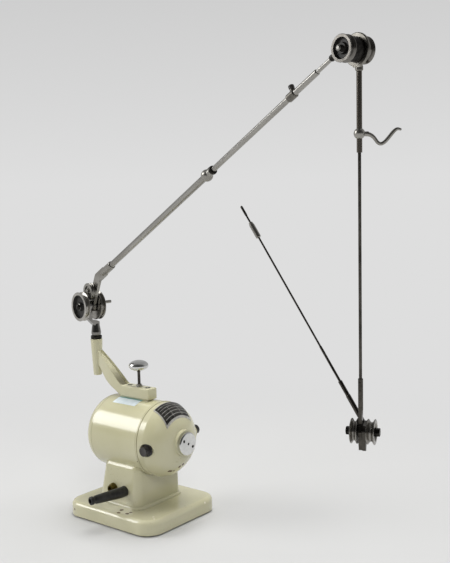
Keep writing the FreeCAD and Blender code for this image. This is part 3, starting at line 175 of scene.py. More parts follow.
def buildCamera(s):
    a, p, r = (math.radians(s[k]) for k in ("azimuth", "pitch", "roll"))
    forward = Vector((-math.sin(a) * math.cos(p), math.cos(a) * math.cos(p), -math.sin(p)))
    right = Vector((math.cos(a), math.sin(a), 0))
    up = right.cross(forward)
    tiltRight = right * math.cos(r) + up * math.sin(r)
    tiltUp = -right * math.sin(r) + up * math.cos(r)
    data = bpy.data.cameras.new("camera")
    data.sensor_fit = "VERTICAL"
    data.sensor_height = s["sensorHeight"]
    data.lens = s["focal"] / s["frameHeight"] * s["sensorHeight"]
    data.clip_end = 60
    camera = bpy.data.objects.new("camera", data)
    camera.matrix_world = axesMatrix(Vector(s["place"]), tiltRight, tiltUp, -forward)
    bpy.context.scene.collection.objects.link(camera)
    bpy.context.scene.camera = camera
    return forward


viewWay = buildCamera(cameraSettings)
print("camera placed")

# Studio: pale floor that fades into the backdrop, and four lamps
# Only the large soft box from the left is mirrored in shiny surfaces
studioSettings = {
    "sweepLow": "DEDEDE", "sweepHigh": "CECECE", "floor": "C6C6C5",
    "fadeFrom": 0.20, "fadeTo": 0.85, "floorSize": 40.0, "room": 0.9,
    "lamps": {
        "softBox": {"place": (-2.45, -1.82, 1.87), "target": (0.0, 0, 0.12), "size": 1.6, "power": 50.0,
                    "mirrored": True},
        "fill": {"place": (2.2, -1.6, 2.2), "target": (0.1, 0, 0.2), "size": 1.3, "power": 34.0},
        "front": {"place": (-0.7, -3.0, 0.8), "target": (0, 0, 0.1), "size": 1.4, "power": 13.0},
        "top": {"place": (0.1, 0.5, 2.4), "target": (0.1, 0, 0.2), "size": 1.6, "power": 50.0},
    },
}


def buildStudio(s):
    bpy.ops.mesh.primitive_plane_add(size=s["floorSize"], location=(0, 0, 0))
    floor = bpy.context.object
    floor.name = "floor"
    # pale matt paper sweep: lit near the object, plain backdrop colour far away
    material, tree, shader, place = newMaterial("matt paper sweep")
    setInputs(tree, shader, {"Base Color": hexColour(s["floor"]), "Roughness": 0.9, "Specular IOR Level": 0.1})
    distance = addNode(tree, "ShaderNodeVectorMath", {"operation": "LENGTH"}, {0: place}).outputs["Value"]
    fade = mapRange(tree, distance, s["fadeFrom"], s["fadeTo"], smooth=True)
    plain = addNode(tree, "ShaderNodeEmission", inputs={"Color": hexColour(s["sweepLow"]), "Strength": 1.0})
    mix = addNode(tree, "ShaderNodeMixShader", inputs={0: fade, 1: shader.outputs[0], 2: plain.outputs[0]})
    out = [n for n in tree.nodes if n.type == "OUTPUT_MATERIAL"][0]
    tree.links.new(mix.outputs[0], out.inputs[0])
    floor.data.materials.append(material)

    world = bpy.data.worlds.new("studio")
    bpy.context.scene.world = world
    world.use_nodes = True
    tree = world.node_tree
    tree.nodes.clear()
    out = addNode(tree, "ShaderNodeOutputWorld")
    way = addNode(tree, "ShaderNodeTexCoord").outputs["Generated"]
    parts = addNode(tree, "ShaderNodeSeparateXYZ", inputs={0: way})
    high = ramp(tree, parts.outputs["Z"], [(0.0, 0.42), (0.25, 0.52), (0.6, 0.46), (1.0, 0.36)])
    # the room behind the camera is darker than the sweep, which gives metal its dark bands
    behind = addNode(tree, "ShaderNodeVectorMath", {"operation": "DOT_PRODUCT"},
                     {0: way, 1: tuple(-viewWay)}).outputs["Value"]
    dark = ramp(tree, behind, [(0.0, 1.0), (0.15, 0.75), (0.42, 0.26), (1.0, 0.12)])
    shade = addNode(tree, "ShaderNodeMix", {"data_type": "RGBA", "blend_type": "MULTIPLY"},
                    {0: 1.0, 6: high, 7: dark}).outputs[2]
    seen = addNode(tree, "ShaderNodeLightPath")
    room = addNode(tree, "ShaderNodeBackground", inputs={"Color": shade, "Strength": s["room"]})
    backdrop = ramp(tree, parts.outputs["Z"], [(0.0, hexColour(s["sweepLow"])), (0.20, hexColour(s["sweepHigh"]))])
    sweep = addNode(tree, "ShaderNodeBackground", inputs={"Color": backdrop, "Strength": 1.0})
    mix = addNode(tree, "ShaderNodeMixShader",
                  inputs={0: seen.outputs["Is Camera Ray"], 1: room.outputs[0], 2: sweep.outputs[0]})
    tree.links.new(mix.outputs[0], out.inputs[0])

    for name, lamp in s["lamps"].items():
        data = bpy.data.lights.new(name, "AREA")
        data.shape = "SQUARE"
        data.size = lamp["size"]
        data.energy = lamp["power"]
        light = bpy.data.objects.new(name, data)
        light.location = lamp["place"]
        aim = Vector(lamp["target"]) - Vector(lamp["place"])
        light.rotation_euler = aim.to_track_quat("-Z", "Y").to_euler()
        light.visible_camera = False
        light.visible_glossy = lamp.get("mirrored", False)
        bpy.context.scene.collection.objects.link(light)


buildStudio(studioSettings)
bpy.context.scene.view_settings.view_transform = "Standard"
print("studio lit")

# Materials

enamelSettings = {
    "light": "C8C4A6", "deep": "BDB995", "grime": "7C7452", "bare": "2E261D", "rust": "5F3B20", "primer": "E2DEC8",
    # colour of the painted shade in the hollow behind the bracket, the foot of that hollow and the shade's reach, in
    # millimetres
    "hollowShade": "4A4530", "webShade": (-26, 0, 171, 34),
    "roughness": 0.22, "peelSize": 1.6,
    # paint chips, grouped by the casting they are on: middle and radius in millimetres
    "stand": [(13.2, -50.9, 20, 2.2), (17, -59.9, 20, 2.0), (28, -55.9, 20, 2.2), (28.8, -50.4, 20, 1.7),
              (1.7, -41.9, 21.4, 1.5), (-58.8, -66.4, 10.1, 1.5), (-79, -44, 20, 2.2), (60.5, 66.0, 19.5, 1.4),
              (71, -66, 3.0, 1.6)],
    "standNicks": [(62.6, -45.2, 20, 1.3), (67.9, -49.5, 20, 1.4), (76.3, 37.7, 16, 1.2)],
    "motor": [(64.4, -15.9, 70.7, 1.9), (65.2, -12.2, 70, 1.7), (65.8, -8.2, 69.6, 1.5), (69.4, -1.3, 73.5, 2.0),
              (70.3, 4.6, 75.3, 1.8), (36.9, -43.1, 85.0, 1.1)],
    "bracket": [(-82, -3, 196, 1.2), (25, -10, 165, 1.0)],
    # joints between castings, as distances along the motor: middle and width in millimetres
    "seams": [(37.7, 1.0), (40.2, 0.6), (-41.6, 0.5)],
}


def spotMask(tree, place, ragged, spots):
    # one where a ragged blot lies round any of the spots
    total = None
    for x, y, z, radius in spots:
        near = mapRange(tree, distanceTo(tree, place, (x, y, z)), radius * mm * 2.0, 0.0)
        total = near if total is None else calc(tree, "MAXIMUM", total, near)
    return ramp(tree, calc(tree, "ADD", total, ragged), [(0.93, 0.0), (0.97, 1.0)])


def makeEnamel(name, s, chips, nicks=(), seams=(), hollow=None):
    # stove enamel on cast iron: thick, glossy, faint orange peel, grime along the joints, chips down to rusty iron,
    # and painted shade in a hollow where one is given
    material, tree, shader, place = newMaterial(name)
    tone = ramp(tree, noise(tree, place, 11.0, 4.0), [(0.3, hexColour(s["deep"])), (0.7, hexColour(s["light"]))])
    dirt = ramp(tree, noise(tree, place, 420.0, 3.0), [(0.60, 0.0), (0.72, 1.0)])
    where = ramp(tree, noise(tree, place, 32.0, 5.0), [(0.50, 0.0), (0.68, 0.35)])
    tone = mixColour(tree, calc(tree, "MULTIPLY", dirt, where), tone, hexColour(s["grime"]))
    along = addNode(tree, "ShaderNodeSeparateXYZ", inputs={0: place}).outputs["X"]
    for middle, width in seams:
        line = mapRange(tree, offFrom(tree, along, middle), width * mm, 0.0, toHigh=0.75)
        tone = mixColour(tree, line, tone, hexColour(s["grime"]))
    if hollow is not None:
        # painted shade standing for the shadow in a hollow: strongest near its foot, on what faces forwards
        *foot, reach = hollow
        near = mapRange(tree, distanceTo(tree, place, foot), reach * mm, 2 * mm, toHigh=0.85, smooth=True)
        normal = addNode(tree, "ShaderNodeNewGeometry").outputs["Normal"]
        forward = addNode(tree, "ShaderNodeSeparateXYZ", inputs={0: normal}).outputs["X"]
        hollowShade = calc(tree, "MULTIPLY", near, mapRange(tree, forward, 0.2, 0.5))
        tone = mixColour(tree, hollowShade, tone, hexColour(s["hollowShade"]))
    ragged = noise(tree, place, 260.0, 4.0)
    chip = spotMask(tree, place, ragged, chips)
    metal = mixColour(tree, ragged, hexColour(s["bare"]), hexColour(s["rust"]))
    colour = mixColour(tree, chip, tone, metal)
    if nicks:
        colour = mixColour(tree, spotMask(tree, place, ragged, nicks), colour, hexColour(s["primer"]))
    gloss = mapRange(tree, chip, toLow=s["roughness"], toHigh=0.8)
    setInputs(tree, shader, {"Base Color": colour, "Roughness": gloss, "Coat Weight": 0.7, "Coat Roughness": 0.10})
    peel = noise(tree, place, 1000 / s["peelSize"] / 4, 2.0)
    setBump(tree, shader, calc(tree, "SUBTRACT", peel, chip), 0.07, 0.0005)
    return material


def alongAxis(tree, place, axis, stretch):
    # object coordinates turned so that Z runs along an axis and is stretched, for drawn and turned metal
    turn = axis.to_track_quat("Z", "X").to_euler()
    return addNode(tree, "ShaderNodeMapping", {"vector_type": "TEXTURE"},
                   {"Vector": place, "Rotation": tuple(turn), "Scale": (1, 1, stretch)}).outputs[0]


def makeMetal(name, light, dark, roughness, scale, spots=0.25, bump=0.05, axis=None, stretch=1.0):
    # plated or turned metal: fine scratches and a patchy bloom of wear, drawn out along the axis where one is given
    material, tree, shader, place = newMaterial(name)
    if axis is not None:
        place = alongAxis(tree, place, axis, stretch)
    bloom = noise(tree, place, scale, 6.0, Roughness=0.65)
    colour = ramp(tree, bloom, [(0.35, hexColour(dark)), (0.62, hexColour(light))])
    pits = noise(tree, place, scale * 25, 2.0)
    pit = ramp(tree, pits, [(0.62, 0.0), (0.74, spots)])
    setInputs(tree, shader, {
        "Metallic": 1.0,
        "Base Color": mixColour(tree, pit, colour, hexColour("3A352E")),
        "Roughness": mapRange(tree, bloom, 0.3, 0.7, roughness * 1.6, roughness),
    })
    setBump(tree, shader, pits, bump, 0.0003)
    return material


def makePlain(name, light, dark, roughness, scale, bump=0.2, coat=0.0, sheen=0.0):
    # rubber, bakelite, felt and the like: two close tones, a grain and a bump
    material, tree, shader, place = newMaterial(name)
    grain = noise(tree, place, scale, 5.0)
    setInputs(tree, shader, {
        "Base Color": ramp(tree, grain, [(0.35, hexColour(dark)), (0.65, hexColour(light))]),
        "Roughness": mapRange(tree, grain, toLow=roughness * 0.8, toHigh=min(1.0, roughness * 1.2)),
        "Coat Weight": coat, "Sheen Weight": sheen,
    })
    setBump(tree, shader, grain, bump, 0.0005)
    return material


def makePulley(name, joint, dish, bright="9C9993", dull="7C7973"):
    # nickelled wheel, its face blackened inside a bright rim out to the radius of the dish in millimetres
    material, tree, shader, place = newMaterial(name)
    centre, axis = jointPlace(joint)
    turn = axis.to_track_quat("Z", "X").to_euler()
    local = addNode(tree, "ShaderNodeMapping", {"vector_type": "TEXTURE"},
                    {"Vector": place, "Location": tuple(centre), "Rotation": tuple(turn)}).outputs[0]
    flat = addNode(tree, "ShaderNodeVectorMath", {"operation": "MULTIPLY"}, {0: local, 1: (1, 1, 0)}).outputs[0]
    radius = addNode(tree, "ShaderNodeVectorMath", {"operation": "LENGTH"}, {0: flat}).outputs["Value"]
    inside = calc(tree, "LESS_THAN", radius, dish * mm)
    bloom = noise(tree, place, 160.0, 6.0)
    shine = ramp(tree, bloom, [(0.32, hexColour(dull)), (0.62, hexColour(bright))])
    black = ramp(tree, bloom, [(0.35, hexColour("141312")), (0.7, hexColour("34322E"))])
    setInputs(tree, shader, {
        "Base Color": mixColour(tree, inside, shine, black),
        "Metallic": mapRange(tree, inside, toLow=1.0, toHigh=0.35),
        "Roughness": mapRange(tree, inside, toLow=0.24, toHigh=0.42),
    })
    turned = addNode(tree, "ShaderNodeTexWave", {"wave_type": "RINGS", "rings_direction": "Z"},
                     {"Vector": local, "Scale": 900.0, "Distortion": 0.4, "Detail": 1.0}).outputs[0]
    setBump(tree, shader, turned, 0.02, 0.0002)
    return material


plateSettings = {
    "black": "151412", "worn": "45433E", "bright": "C9C7C0", "dull": "8E8B84",
    # middle and half length along the motor, half width and border, in millimetres
    "middle": 58.55, "halfLength": 11.25, "halfWidth": 22.4, "border": 1.0,
    # lines ruled across the plate and between its fields, inside a margin
    "rows": [51.6, 55.2, 58.8, 62.4, 66.0], "rowWidth": 0.42, "margin": 3.0,
    "fields": [-6.5, 8.0], "fieldWidth": 0.36, "fieldMiddle": 61.0, "fieldHalf": 7.0,
}


def makePlate(s):
    # etched aluminium plate filled with black: a bright border and blank ruled fields
    material, tree, shader, place = newMaterial("black filled aluminium plate")
    parts = addNode(tree, "ShaderNodeSeparateXYZ", inputs={0: place})
    beyond = 99

    def band(axis, middle, low, high):
        # one where the distance from middle lies between low and high
        off = offFrom(tree, parts.outputs[axis], middle)
        above = calc(tree, "GREATER_THAN", off, low * mm)
        return calc(tree, "MULTIPLY", above, calc(tree, "LESS_THAN", off, high * mm))

    def larger(first, second):
        return calc(tree, "MAXIMUM", first, second)

    edge = larger(band("Y", 0, s["halfWidth"] - s["border"], beyond),
                  band("X", s["middle"], s["halfLength"] - s["border"], beyond))
    ruled = None
    for row in s["rows"]:
        line = band("X", row, -1, s["rowWidth"] / 2)
        ruled = line if ruled is None else larger(ruled, line)
    for field in s["fields"]:
        line = calc(tree, "MULTIPLY", band("Y", field, -1, s["fieldWidth"] / 2),
                    band("X", s["fieldMiddle"], -1, s["fieldHalf"]))
        ruled = larger(ruled, line)
    edge = larger(edge, calc(tree, "MULTIPLY", ruled, band("Y", 0, -1, s["halfWidth"] - s["margin"])))
    wear = noise(tree, place, 180.0, 6.0)
    black = ramp(tree, wear, [(0.45, hexColour(s["black"])), (0.75, hexColour(s["worn"]))])
    bright = ramp(tree, wear, [(0.3, hexColour(s["dull"])), (0.7, hexColour(s["bright"]))])
    setInputs(tree, shader, {
        "Base Color": mixColour(tree, edge, black, bright),
        "Metallic": mapRange(tree, edge, toLow=0.2, toHigh=0.35),
        "Roughness": 0.30,
    })
    return material


stickerSettings = {
    # the band's dark teal holds painted shadow of the bar overhanging the label's upper edge
    "paper": "D3DCE0", "faded": "C2CED3", "band": "6FA4A0",
    # ends along the motor and thickness in millimetres, edges and band in degrees round the shell
    "start": -27.0, "end": 13.0, "lift": 0.08, "thick": 0.12, "radius": 47.6,
    "low": 97.0, "high": 116.0, "shadedBandTurn": 3.2,
}


def makeStickerPaper(s):
    # coated paper label, sun-faded and blank, with a teal band printed along its upper edge, its tone darkened as
    # painted shadow of the bar that overhangs it
    material, tree, shader, place = newMaterial("faded coated paper")
    across = addNode(tree, "ShaderNodeSeparateXYZ", inputs={0: place}).outputs["Y"]
    fibre = noise(tree, place, 150.0, 4.0)
    paper = ramp(tree, fibre, [(0.35, hexColour(s["faded"])), (0.6, hexColour(s["paper"]))])
    # the strip under the bar's overhang takes the band's colour, printed teal with painted shadow
    edge = math.cos(math.radians(s["low"] + s["shadedBandTurn"])) * s["radius"] * mm
    top = calc(tree, "GREATER_THAN", across, edge)
    setInputs(tree, shader, {
        "Base Color": mixColour(tree, top, paper, hexColour(s["band"])),
        "Roughness": mapRange(tree, fibre, toLow=0.35, toHigh=0.55),
    })
    return material


standEnamel = makeEnamel("stove enamel on the stand", enamelSettings, enamelSettings["stand"],
                         nicks=enamelSettings["standNicks"])
motorEnamel = makeEnamel("stove enamel on the motor", enamelSettings, enamelSettings["motor"],
                         seams=enamelSettings["seams"])
# the bracket's enamel carries painted shade in the hollow of its web
bracketEnamel = makeEnamel("stove enamel on the bracket", enamelSettings, enamelSettings["bracket"],
                           hollow=enamelSettings["webShade"])
chrome = makeMetal("polished chromium plate", "E2E2E0", "CDCDCC", 0.06, 60.0, spots=0.05, bump=0.004)
nickel = makeMetal("worn nickel plate", "A5A39D", "8C8982", 0.26, 50.0, spots=0.10, bump=0.004)
greyNickel = makeMetal("dulled nickel plate", "8A8780", "6A6761", 0.24, 45.0, spots=0.08, bump=0.004)
darkChrome = makeMetal("smoky chromium plate", "8E8C88", "6F6D69", 0.09, 40.0, spots=0.05, bump=0.003)
tubeNickel = makeMetal("drawn tube, nickel plated", "A8A6A1", "908D87", 0.20, 120.0, spots=0.08, bump=0.004,
                       axis=armX, stretch=14.0)
poleNickel = makeMetal("drawn rod, worn nickel plate", "857F76", "6A645B", 0.16, 120.0, spots=0.15, bump=0.004,
                       axis=Vector((0, 0, 1)), stretch=14.0)
darkNickel = makeMetal("tarnished nickel plate", "5A5751", "3A3733", 0.20, 80.0, spots=0.2, bump=0.008)
steel = makeMetal("turned steel", "9A9893", "7B7974", 0.25, 90.0, spots=0.2, bump=0.01)
blackSteel = makeMetal("blackened steel", "3C3A37", "191816", 0.36, 160.0, spots=0.3, bump=0.1)
brass = makeMetal("tarnished brass", "8A7A3E", "3C3620", 0.38, 220.0, spots=0.7, bump=0.2)
iron = makeMetal("stacked iron sheets", "5C5B58", "3A3936", 0.45, 300.0)
copper = makeMetal("varnished copper wire", "B06A3C", "7A4526", 0.35, 400.0)
bakelite = makePlain("moulded bakelite", "2B2724", "141211", 0.30, 90.0, bump=0.05, coat=0.25)
rubber = makePlain("black rubber", "2A2928", "121212", 0.46, 240.0, bump=0.3)
felt = makePlain("pressed felt", "33352E", "1F211C", 0.95, 700.0, bump=0.8, sheen=0.3)
carbon = makePlain("pressed carbon", "2A2A2A", "1A1A1A", 0.6, 300.0)
plate = makePlate(plateSettings)
stickerPaper = makeStickerPaper(stickerSettings)

finishes = {
    standEnamel: ["base_plate", "pedestal"],
    motorEnamel: ["motor_shell", "front_bell", "rear_bell"],
    bracketEnamel: ["arm_bracket"],
    chrome: ["bearing_cap", "switch_knob"],
    nickel: ["arm_strap", "swivel_ball", "hook_clamp", "cord_hook", "knob_bush", "nose_sleeve", "shoulder_axle",
             "guide_pulley"],
    greyNickel: ["forearm_head", "tube_clamp"],
    darkChrome: ["spindle"],
    tubeNickel: ["lower_tube", "upper_tube", "extension_rod"],
    poleNickel: ["forearm_tube"],
    darkNickel: ["forearm_rod", "wrist_stem", "link_strap", "link_sleeve", "link_rod"],
    steel: ["pedestal_screws", "tie_bolts", "motor_shaft", "shaft_bearings", "drive_pulley", "elbow_axle",
            "wrist_axle", "brush_springs", "cooling_fan"],
    blackSteel: ["bracket_screws", "spindle_collar", "swivel_ring", "elbow_hub", "wrist_nuts"],
    brass: ["cable_fitting", "brush_holders"],
    iron: ["stator_core", "rotor_core"],
    copper: ["field_coils", "commutator"],
    bakelite: ["brush_caps", "thumb_screw"],
    rubber: ["cable_sleeve"],
    felt: ["base_pad"],
    carbon: ["carbon_brushes"],
    plate: ["nameplate"],
    # the left shoulder wheel's lighter rim tones are a painted highlight on the same nickel as the other wheels
    makePulley("shoulder wheel, left", "shoulder_wheel_left_spin", 15.4, "BCB9B3", "9A9791"):
        ["shoulder_pulley_left"],
    makePulley("shoulder wheel, right", "shoulder_wheel_right_spin", 6.0): ["shoulder_pulley_right"],
    # the elbow wheels' darker rim tones are painted shade on the same nickel as the other wheels
    makePulley("elbow wheel, left", "elbow_wheel_left_spin", 9.7, "807D78", "696661"): ["elbow_pulley_left"],
    makePulley("elbow wheel, right", "elbow_wheel_right_spin", 5.0, "807D78", "696661"): ["elbow_pulley_right"],
    makePulley("wrist wheel, left", "wrist_wheel_left_spin", 6.0): ["wrist_pulley_left"],
    makePulley("wrist wheel, right", "wrist_wheel_right_spin", 6.0): ["wrist_pulley_right"],
}
finished = set()
for material, names in finishes.items():
    for name in names:
        mesh = frame["nodes"][name].data
        mesh.materials.clear()
        mesh.materials.append(material)
        finished.add(name)
print("materials set; without one:", sorted(set(frame["nodes"]) - finished))

# Detail pieces


def deselect():
    bpy.ops.object.select_all(action="DESELECT")


def makeActive(piece):
    deselect()
    piece.select_set(True)
    bpy.context.view_layer.objects.active = piece


def joinPieces(first, *others):
    makeActive(first)
    for piece in others:
        piece.select_set(True)
    bpy.ops.object.join()


def openFaces(piece, chosen):
    # edit mode with only the chosen faces selected
    makeActive(piece)
    bpy.ops.object.mode_set(mode="EDIT")
    bpy.ops.mesh.select_mode(type="FACE")
    bpy.ops.mesh.select_all(action="DESELECT")
    edit = bmesh.from_edit_mesh(piece.data)
    edit.faces.ensure_lookup_table()
    for face in edit.faces:
        face.select_set(chosen(face))
    edit.select_flush_mode()
    bmesh.update_edit_mesh(piece.data)


def facesUp(face):
    return face.normal.z > 0.9


def insetFaces(thickness, depth=0.0, **settings):
    bpy.ops.mesh.inset(thickness=thickness * mm, depth=depth * mm, **settings)


def extrudeBy(x, y, z):
    bpy.ops.mesh.extrude_region_move(TRANSFORM_OT_translate={"value": (x * mm, y * mm, z * mm)})


def closeEdit():
    bpy.ops.object.mode_set(mode="OBJECT")


def applyModifier(piece, kind, **settings):
    makeActive(piece)
    modifier = piece.modifiers.new(kind.lower(), kind)
    for name, value in settings.items():
        setattr(modifier, name, value)
    bpy.ops.object.modifier_apply(modifier=modifier.name)


def bevelEdges(piece, width, segments, angle):
    # round the edges that are sharper than an angle in degrees
    applyModifier(piece, "BEVEL", width=width * mm, segments=segments, limit_method="ANGLE",
                  angle_limit=math.radians(angle))


def cutAway(piece, cutter):
    applyModifier(piece, "BOOLEAN", object=cutter, operation="DIFFERENCE", solver="EXACT")
    bpy.data.objects.remove(cutter)


def addBlock(rear, front, halfWidth, low, high):
    # a block astride the motor's middle plane, in millimetres
    deselect()
    bpy.ops.mesh.primitive_cube_add(size=1, location=((front + rear) / 2 * mm, 0, (low + high) / 2 * mm),
                                    scale=((front - rear) * mm, 2 * halfWidth * mm, (high - low) * mm))
    return bpy.context.object


def addRod(radius, low, high, x=0.0, vertices=48):
    # an upright cylinder on the motor's middle plane, in millimetres
    deselect()
    bpy.ops.mesh.primitive_cylinder_add(vertices=vertices, radius=radius * mm, depth=(high - low) * mm,
                                        location=(x * mm, 0, (low + high) / 2 * mm))
    return bpy.context.object


def drill(piece, x, radius, low, high):
    # an upright hole through a piece on the motor's middle plane, in millimetres
    cutAway(piece, addRod(radius, low, high, x))


def finishPiece(piece, material, node, place=None, angle=32):
    # smooth shading, its material, its place in the mesh, and the body that carries the node it sits on
    makeActive(piece)
    bpy.ops.object.transform_apply(location=True, rotation=True, scale=True)
    if place is not None:
        piece.data.transform(place)
    bpy.ops.object.shade_smooth_by_angle(angle=math.radians(angle))
    piece.data.materials.clear()
    piece.data.materials.append(material)
    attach(piece, bodyHolding(node))
    return piece


def copyPiece(source, name):
    piece = source.copy()
    piece.data = source.data.copy()
    piece.name = name
    bpy.context.scene.collection.objects.link(piece)
    return piece


bracketSettings = {
    # bar on top of the motor, its narrow foot, and the holes for the knob's stem and the spindle, in millimetres
    "front": 25.6, "rear": -22.0, "low": 153.8, "high": 168.3, "halfWidth": 8.0, "round": 1.5,
    "foot": (-28.0, 21.0, 5.6, 150.0, 157.0), "stemAt": 2.0, "stemHole": 2.3, "screwsAt": (-15, 17),
    # sections of the web behind the bar: place along the motor, bottom, top and half width
    "web": [(-25.0, 154.3, 169.8, 8.0), (-28.5, 155.7, 172.8, 8.0), (-32.0, 157.6, 176.3, 7.9),
            (-36.0, 159.8, 180.0, 7.7), (-42.0, 162.8, 185.8, 7.3), (-48.0, 166.2, 191.6, 6.7),
            (-54.0, 170.7, 197.2, 6.0), (-60.0, 177.4, 202.6, 5.1), (-65.0, 183.4, 207.0, 4.4),
            (-70.2, 189.4, 211.2, 3.6)],
    "troughRim": 0.8, "troughDepth": 2.6, "troughGap": 0.5,
    # sleeve for the spindle: place along the motor, bottom, top, lower and upper radius
    "sleeve": (-75.3, 175.0, 224.0, 5.6, 8.1), "sleeveRound": 0.9, "bore": 4.4, "seat": 3.5,
}


def makeBracket(s):
    # bar and web drawn out of one block, then the foot and the bored sleeve
    low, high, half = s["low"], s["high"], s["halfWidth"]
    bar = addBlock(s["rear"], s["front"], half, low, high)
    bar.name = "armBracketCasting"
    bpy.ops.object.transform_apply(location=True, rotation=True, scale=True)
    openFaces(bar, lambda face: face.normal.x < -0.9)
    last = (s["rear"], low, high, half)
    for x, low, high, half in s["web"]:
        extrudeBy(x - last[0], 0, (low + high - last[1] - last[2]) / 2)
        bpy.ops.transform.resize(value=(1, half / last[3], (high - low) / (last[2] - last[1])),
                                 center_override=(x * mm, 0, (low + high) / 2 * mm))
        last = (x, low, high, half)
    closeEdit()
    bevelEdges(bar, s["round"], 4, 50)
    openFaces(bar, lambda face: face.normal.z > 0.3 and abs(face.normal.y) < 0.06
              and face.calc_center_median().x < (s["rear"] - s["troughGap"]) * mm)
    insetFaces(s["troughRim"], -s["troughDepth"])
    closeEdit()
    drill(bar, s["stemAt"], s["stemHole"], s["low"] - 1, s["high"] + 1)

    rear, front, half, low, high = s["foot"]
    foot = addBlock(rear, front, half, low, high)
    drill(foot, s["stemAt"], s["stemHole"], low - 1, high + 1)

    x, low, high, radiusLow, radiusHigh = s["sleeve"]
    deselect()
    bpy.ops.mesh.primitive_cone_add(vertices=72, radius1=radiusLow * mm, radius2=radiusHigh * mm,
                                    depth=(high - low) * mm, location=(x * mm, 0, (low + high) / 2 * mm))
    sleeve = bpy.context.object
    bevelEdges(sleeve, s["sleeveRound"], 3, 50)
    drill(sleeve, x, s["bore"], low + s["seat"], high + 1)
    joinPieces(bar, foot, sleeve)
    finishPiece(bar, bracketEnamel, "arm_bracket", angle=38)
    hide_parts("arm_bracket")


makeBracket(bracketSettings)
barHigh = bracketSettings["high"]
print("bracket made")

knobSettings = {
    "at": bracketSettings["stemAt"], "middle": 195.8, "radius": 12.9, "flat": 0.54,
    # stem, how far it goes into the ball, and its collar
    "stemRadius": 1.9, "stemLow": 159.8, "stemInside": 1.0,
    "collarRadius": 3.3, "collarHeight": 1.8, "collarBelow": 0.6,
    # bush on the bar: its chamfer, its land and the share of its height that stands up as a lip
    "bushRadius": 4.3, "bushHeight": 1.5, "bushBore": bracketSettings["stemHole"], "chamfer": (0.5, 0.25),
    "land": 0.4, "lip": 0.8,
}


def makeKnob(s):
    # flattened ball on a stem with a small collar, and the bush that the stem slides in
    deselect()
    bpy.ops.mesh.primitive_uv_sphere_add(segments=72, ring_count=36, radius=s["radius"] * mm,
                                         location=(s["at"] * mm, 0, s["middle"] * mm), scale=(1, 1, s["flat"]))
    head = bpy.context.object
    head.name = "knobHead"
    finishPiece(head, chrome, "switch_knob", angle=60)
    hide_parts("switch_knob")

    top = s["middle"] - s["radius"] * s["flat"] + s["stemInside"]
    stem = addRod(s["stemRadius"], s["stemLow"], top, s["at"])
    stem.name = "knobStem"
    collarMiddle = top - s["collarBelow"] - s["collarHeight"] / 2
    bpy.ops.mesh.primitive_cone_add(vertices=48, radius1=s["stemRadius"] * mm, radius2=s["collarRadius"] * mm,
                                    depth=s["collarHeight"] * mm, location=(s["at"] * mm, 0, collarMiddle * mm))
    joinPieces(stem, bpy.context.object)
    finishPiece(stem, darkNickel, "switch_knob")

    bush = addRod(s["bushRadius"], barHigh, barHigh + s["bushHeight"], s["at"], vertices=56)
    bush.name = "knobBush"
    openFaces(bush, facesUp)
    insetFaces(*s["chamfer"])
    insetFaces(s["land"])
    extrudeBy(0, 0, s["bushHeight"] * s["lip"])
    closeEdit()
    drill(bush, s["at"], s["bushBore"], barHigh - 1, barHigh + 2 * s["bushHeight"] + 1)
    finishPiece(bush, nickel, "knob_bush")
    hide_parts("knob_bush")


makeKnob(knobSettings)
print("knob made")

axleCapSettings = {"radius": 4.0, "flat": 0.6, "proud": 0.6}


def makeAxleCap(s):
    # dark domed cap on the end of the shoulder axle, inside the dished wheel
    centre, axis = jointPlace("shoulder_wheel_left_spin")
    low = Vector(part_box("shoulder_axle")[0])
    end = centre - axis * ((centre.y - low.y) / axis.y - s["proud"] * mm)
    deselect()
    bpy.ops.mesh.primitive_uv_sphere_add(segments=40, ring_count=20, radius=s["radius"] * mm, scale=(1, 1, s["flat"]))
    cap = bpy.context.object
    cap.name = "axleCap"
    finishPiece(cap, blackSteel, "shoulder_axle", aimed(end, -axis), angle=60)


makeAxleCap(axleCapSettings)
print("axle cap made")

hookSettings = {
    # the bent line of the hook from the clamp: distance out, height and radius in millimetres
    "line": [(3.5, -0.3, 2.2), (6.5, -0.4, 2.2), (9.3, -1.0, 1.9), (12.2, -2.7, 1.75), (14.4, -5.4, 1.65),
             (16.4, -8.4, 1.6), (19.2, -9.9, 1.6), (22.6, -8.3, 1.65), (26.0, -4.7, 1.7), (29.3, -0.5, 1.7),
             (32.2, 2.6, 1.6), (35.2, 4.0, 1.35), (37.8, 2.6, 1.0)],
}


def makeHook(s):
    # forged wire hook, thick at its root and thin at its tip
    origin, axis = jointPlace("hook_turn")
    low, high = (Vector(c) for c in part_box("cord_hook"))
    out = (low + high) / 2 - origin
    out = (out - axis * out.dot(axis)).normalized()
    deselect()
    bpy.ops.curve.primitive_nurbs_path_add(location=(0, 0, 0))
    wire = bpy.context.object
    wire.name = "cordHookWire"
    spline = wire.data.splines[0]
    spline.points.add(len(s["line"]) - len(spline.points))
    for point, (along, up, radius) in zip(spline.points, s["line"]):
        point.co = (along * mm, 0, up * mm, 1)
        point.radius = radius
    spline.order_u = 3
    spline.use_endpoint_u = True
    wire.data.resolution_u = 10
    wire.data.bevel_depth = mm
    wire.data.bevel_resolution = 6
    wire.data.use_fill_caps = True
    bpy.ops.object.convert(target="MESH")
    finishPiece(wire, nickel, "cord_hook", axesMatrix(origin, out, axis.cross(out), axis), angle=50)
    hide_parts("cord_hook")


makeHook(hookSettings)
print("hook made")

screwSettings = {"radius": 3.9, "height": 1.2, "crown": 0.35, "crownSteps": (0.22, 0.3), "slotWidth": 1.0,
                 "slotDepth": 0.75, "round": 0.1}


